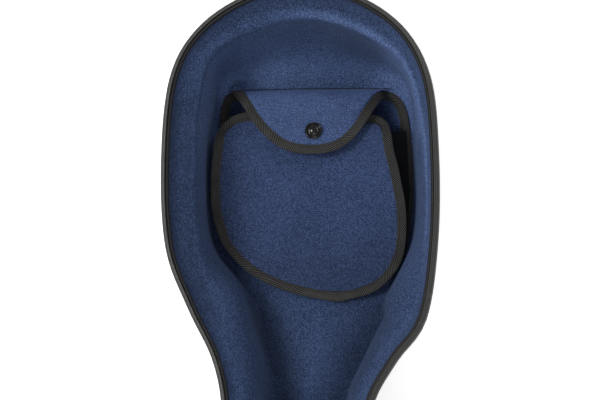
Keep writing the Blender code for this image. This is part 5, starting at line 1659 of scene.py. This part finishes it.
def make_fittings():
    for name, low_y, high_y, height in (("lower", -0.630, -0.385, 0.036), ("upper", -0.055, 0.110, 0.030)):
        for side in ("left", "right"):
            make_bout_pad(name, low_y, high_y, height, side)
    make_neck_cradle()
    make_endpin_block()
    make_bow_holders()
    for number, y in enumerate((-0.450, -0.280, -0.110), 1):
        make_hinge(number, y)
    for name in ("head", "upper", "lower", "bottom"):
        make_latch(name)
    make_side_handle()
    make_head_handle()
    for side, sign in (("left", -1), ("right", 1)):
        make_wheel(side, sign * WHEEL_X)
        make_foot(f"foot_{side}", LID_X + sign * WHEEL_X)


# Camera, light and floor


LIGHT_AIM = Vector((0.0, 0.40, 0.1))


def make_camera():
    """Looks nearly straight down at the head of the base, as the photograph does."""
    place, target = Vector((0.50, 0.0, 4.14)), Vector((0.0015, 0.4515, RIM_Z))
    ahead = (target - place).normalized()
    right = ahead.cross(Vector((0, 1, 0))).normalized()
    lens = bpy.data.cameras.new("camera")
    lens.sensor_width = 36.0
    lens.lens = 245.26
    lens.clip_start = 0.05
    lens.clip_end = 50.0
    camera = link_object("camera", lens)
    turn = Matrix((right, right.cross(ahead), -ahead)).transposed().to_4x4()
    camera.matrix_world = Matrix.Translation(place) @ turn
    bpy.context.scene.camera = camera


def add_area_light(name, place, size, power, colour):
    lamp = bpy.data.lights.new(name, "AREA")
    lamp.shape = "DISK"
    lamp.size = size
    lamp.energy = power
    lamp.color = colour
    link_object(name, lamp).matrix_world = aimed(place, LIGHT_AIM - Vector(place), "-Z")


def show_to_camera(tree, output, other, shown):
    """Uses one shader for what the camera sees, also through glass, and another for all other rays."""
    path = node(tree, "ShaderNodeLightPath").outputs
    seen = maths(tree, "MAXIMUM", path["Is Camera Ray"], path["Is Transmission Ray"])
    mixed = node(tree, "ShaderNodeMixShader", {0: seen, 1: other.outputs[0], 2: shown.outputs[0]})
    tree.links.new(mixed.outputs[0], tree.nodes[output].inputs["Surface"])


def make_light():
    add_area_light("key", (-1.60, 0.72, 3.15), 1.2, 68.0, (1.0, 0.99, 0.97))
    add_area_light("fill", (0.1, -1.9, 3.3), 2.2, 26.0, (0.96, 0.98, 1.0))
    add_area_light("edge", (2.0, 2.5, 2.5), 1.0, 17.0, (1.0, 1.0, 1.0))
    world = bpy.data.worlds.new("studio")
    bpy.context.scene.world = world
    world.use_nodes = True
    tree = world.node_tree
    shown = tree.nodes["Background"]
    shown.inputs["Color"].default_value = WHITE
    shown.inputs["Strength"].default_value = 1.0
    lit = node(tree, "ShaderNodeBackground", {"Color": WHITE, "Strength": 0.52})
    show_to_camera(tree, "World Output", lit, shown)


def make_floor():
    bm = bmesh.new()
    bmesh.ops.create_grid(bm, x_segments=1, y_segments=1, size=6.0)
    floor = object_from("floor", bm)
    made, tree, shader = new_material("floor white", specular=0.0)
    shader.inputs["Base Color"].default_value = (0.80, 0.80, 0.80, 1.0)
    shader.inputs["Roughness"].default_value = 0.9
    glow = node(tree, "ShaderNodeEmission", {"Color": WHITE, "Strength": 0.70})
    both = node(tree, "ShaderNodeAddShader", {0: shader.outputs[0], 1: glow.outputs[0]})
    show_to_camera(tree, "Material Output", shader, both)
    floor.data.materials.append(made)


bpy.context.scene.view_settings.view_transform = "Standard"
make_camera()
make_halves()
make_pocket()
make_fittings()
make_light()
make_floor()
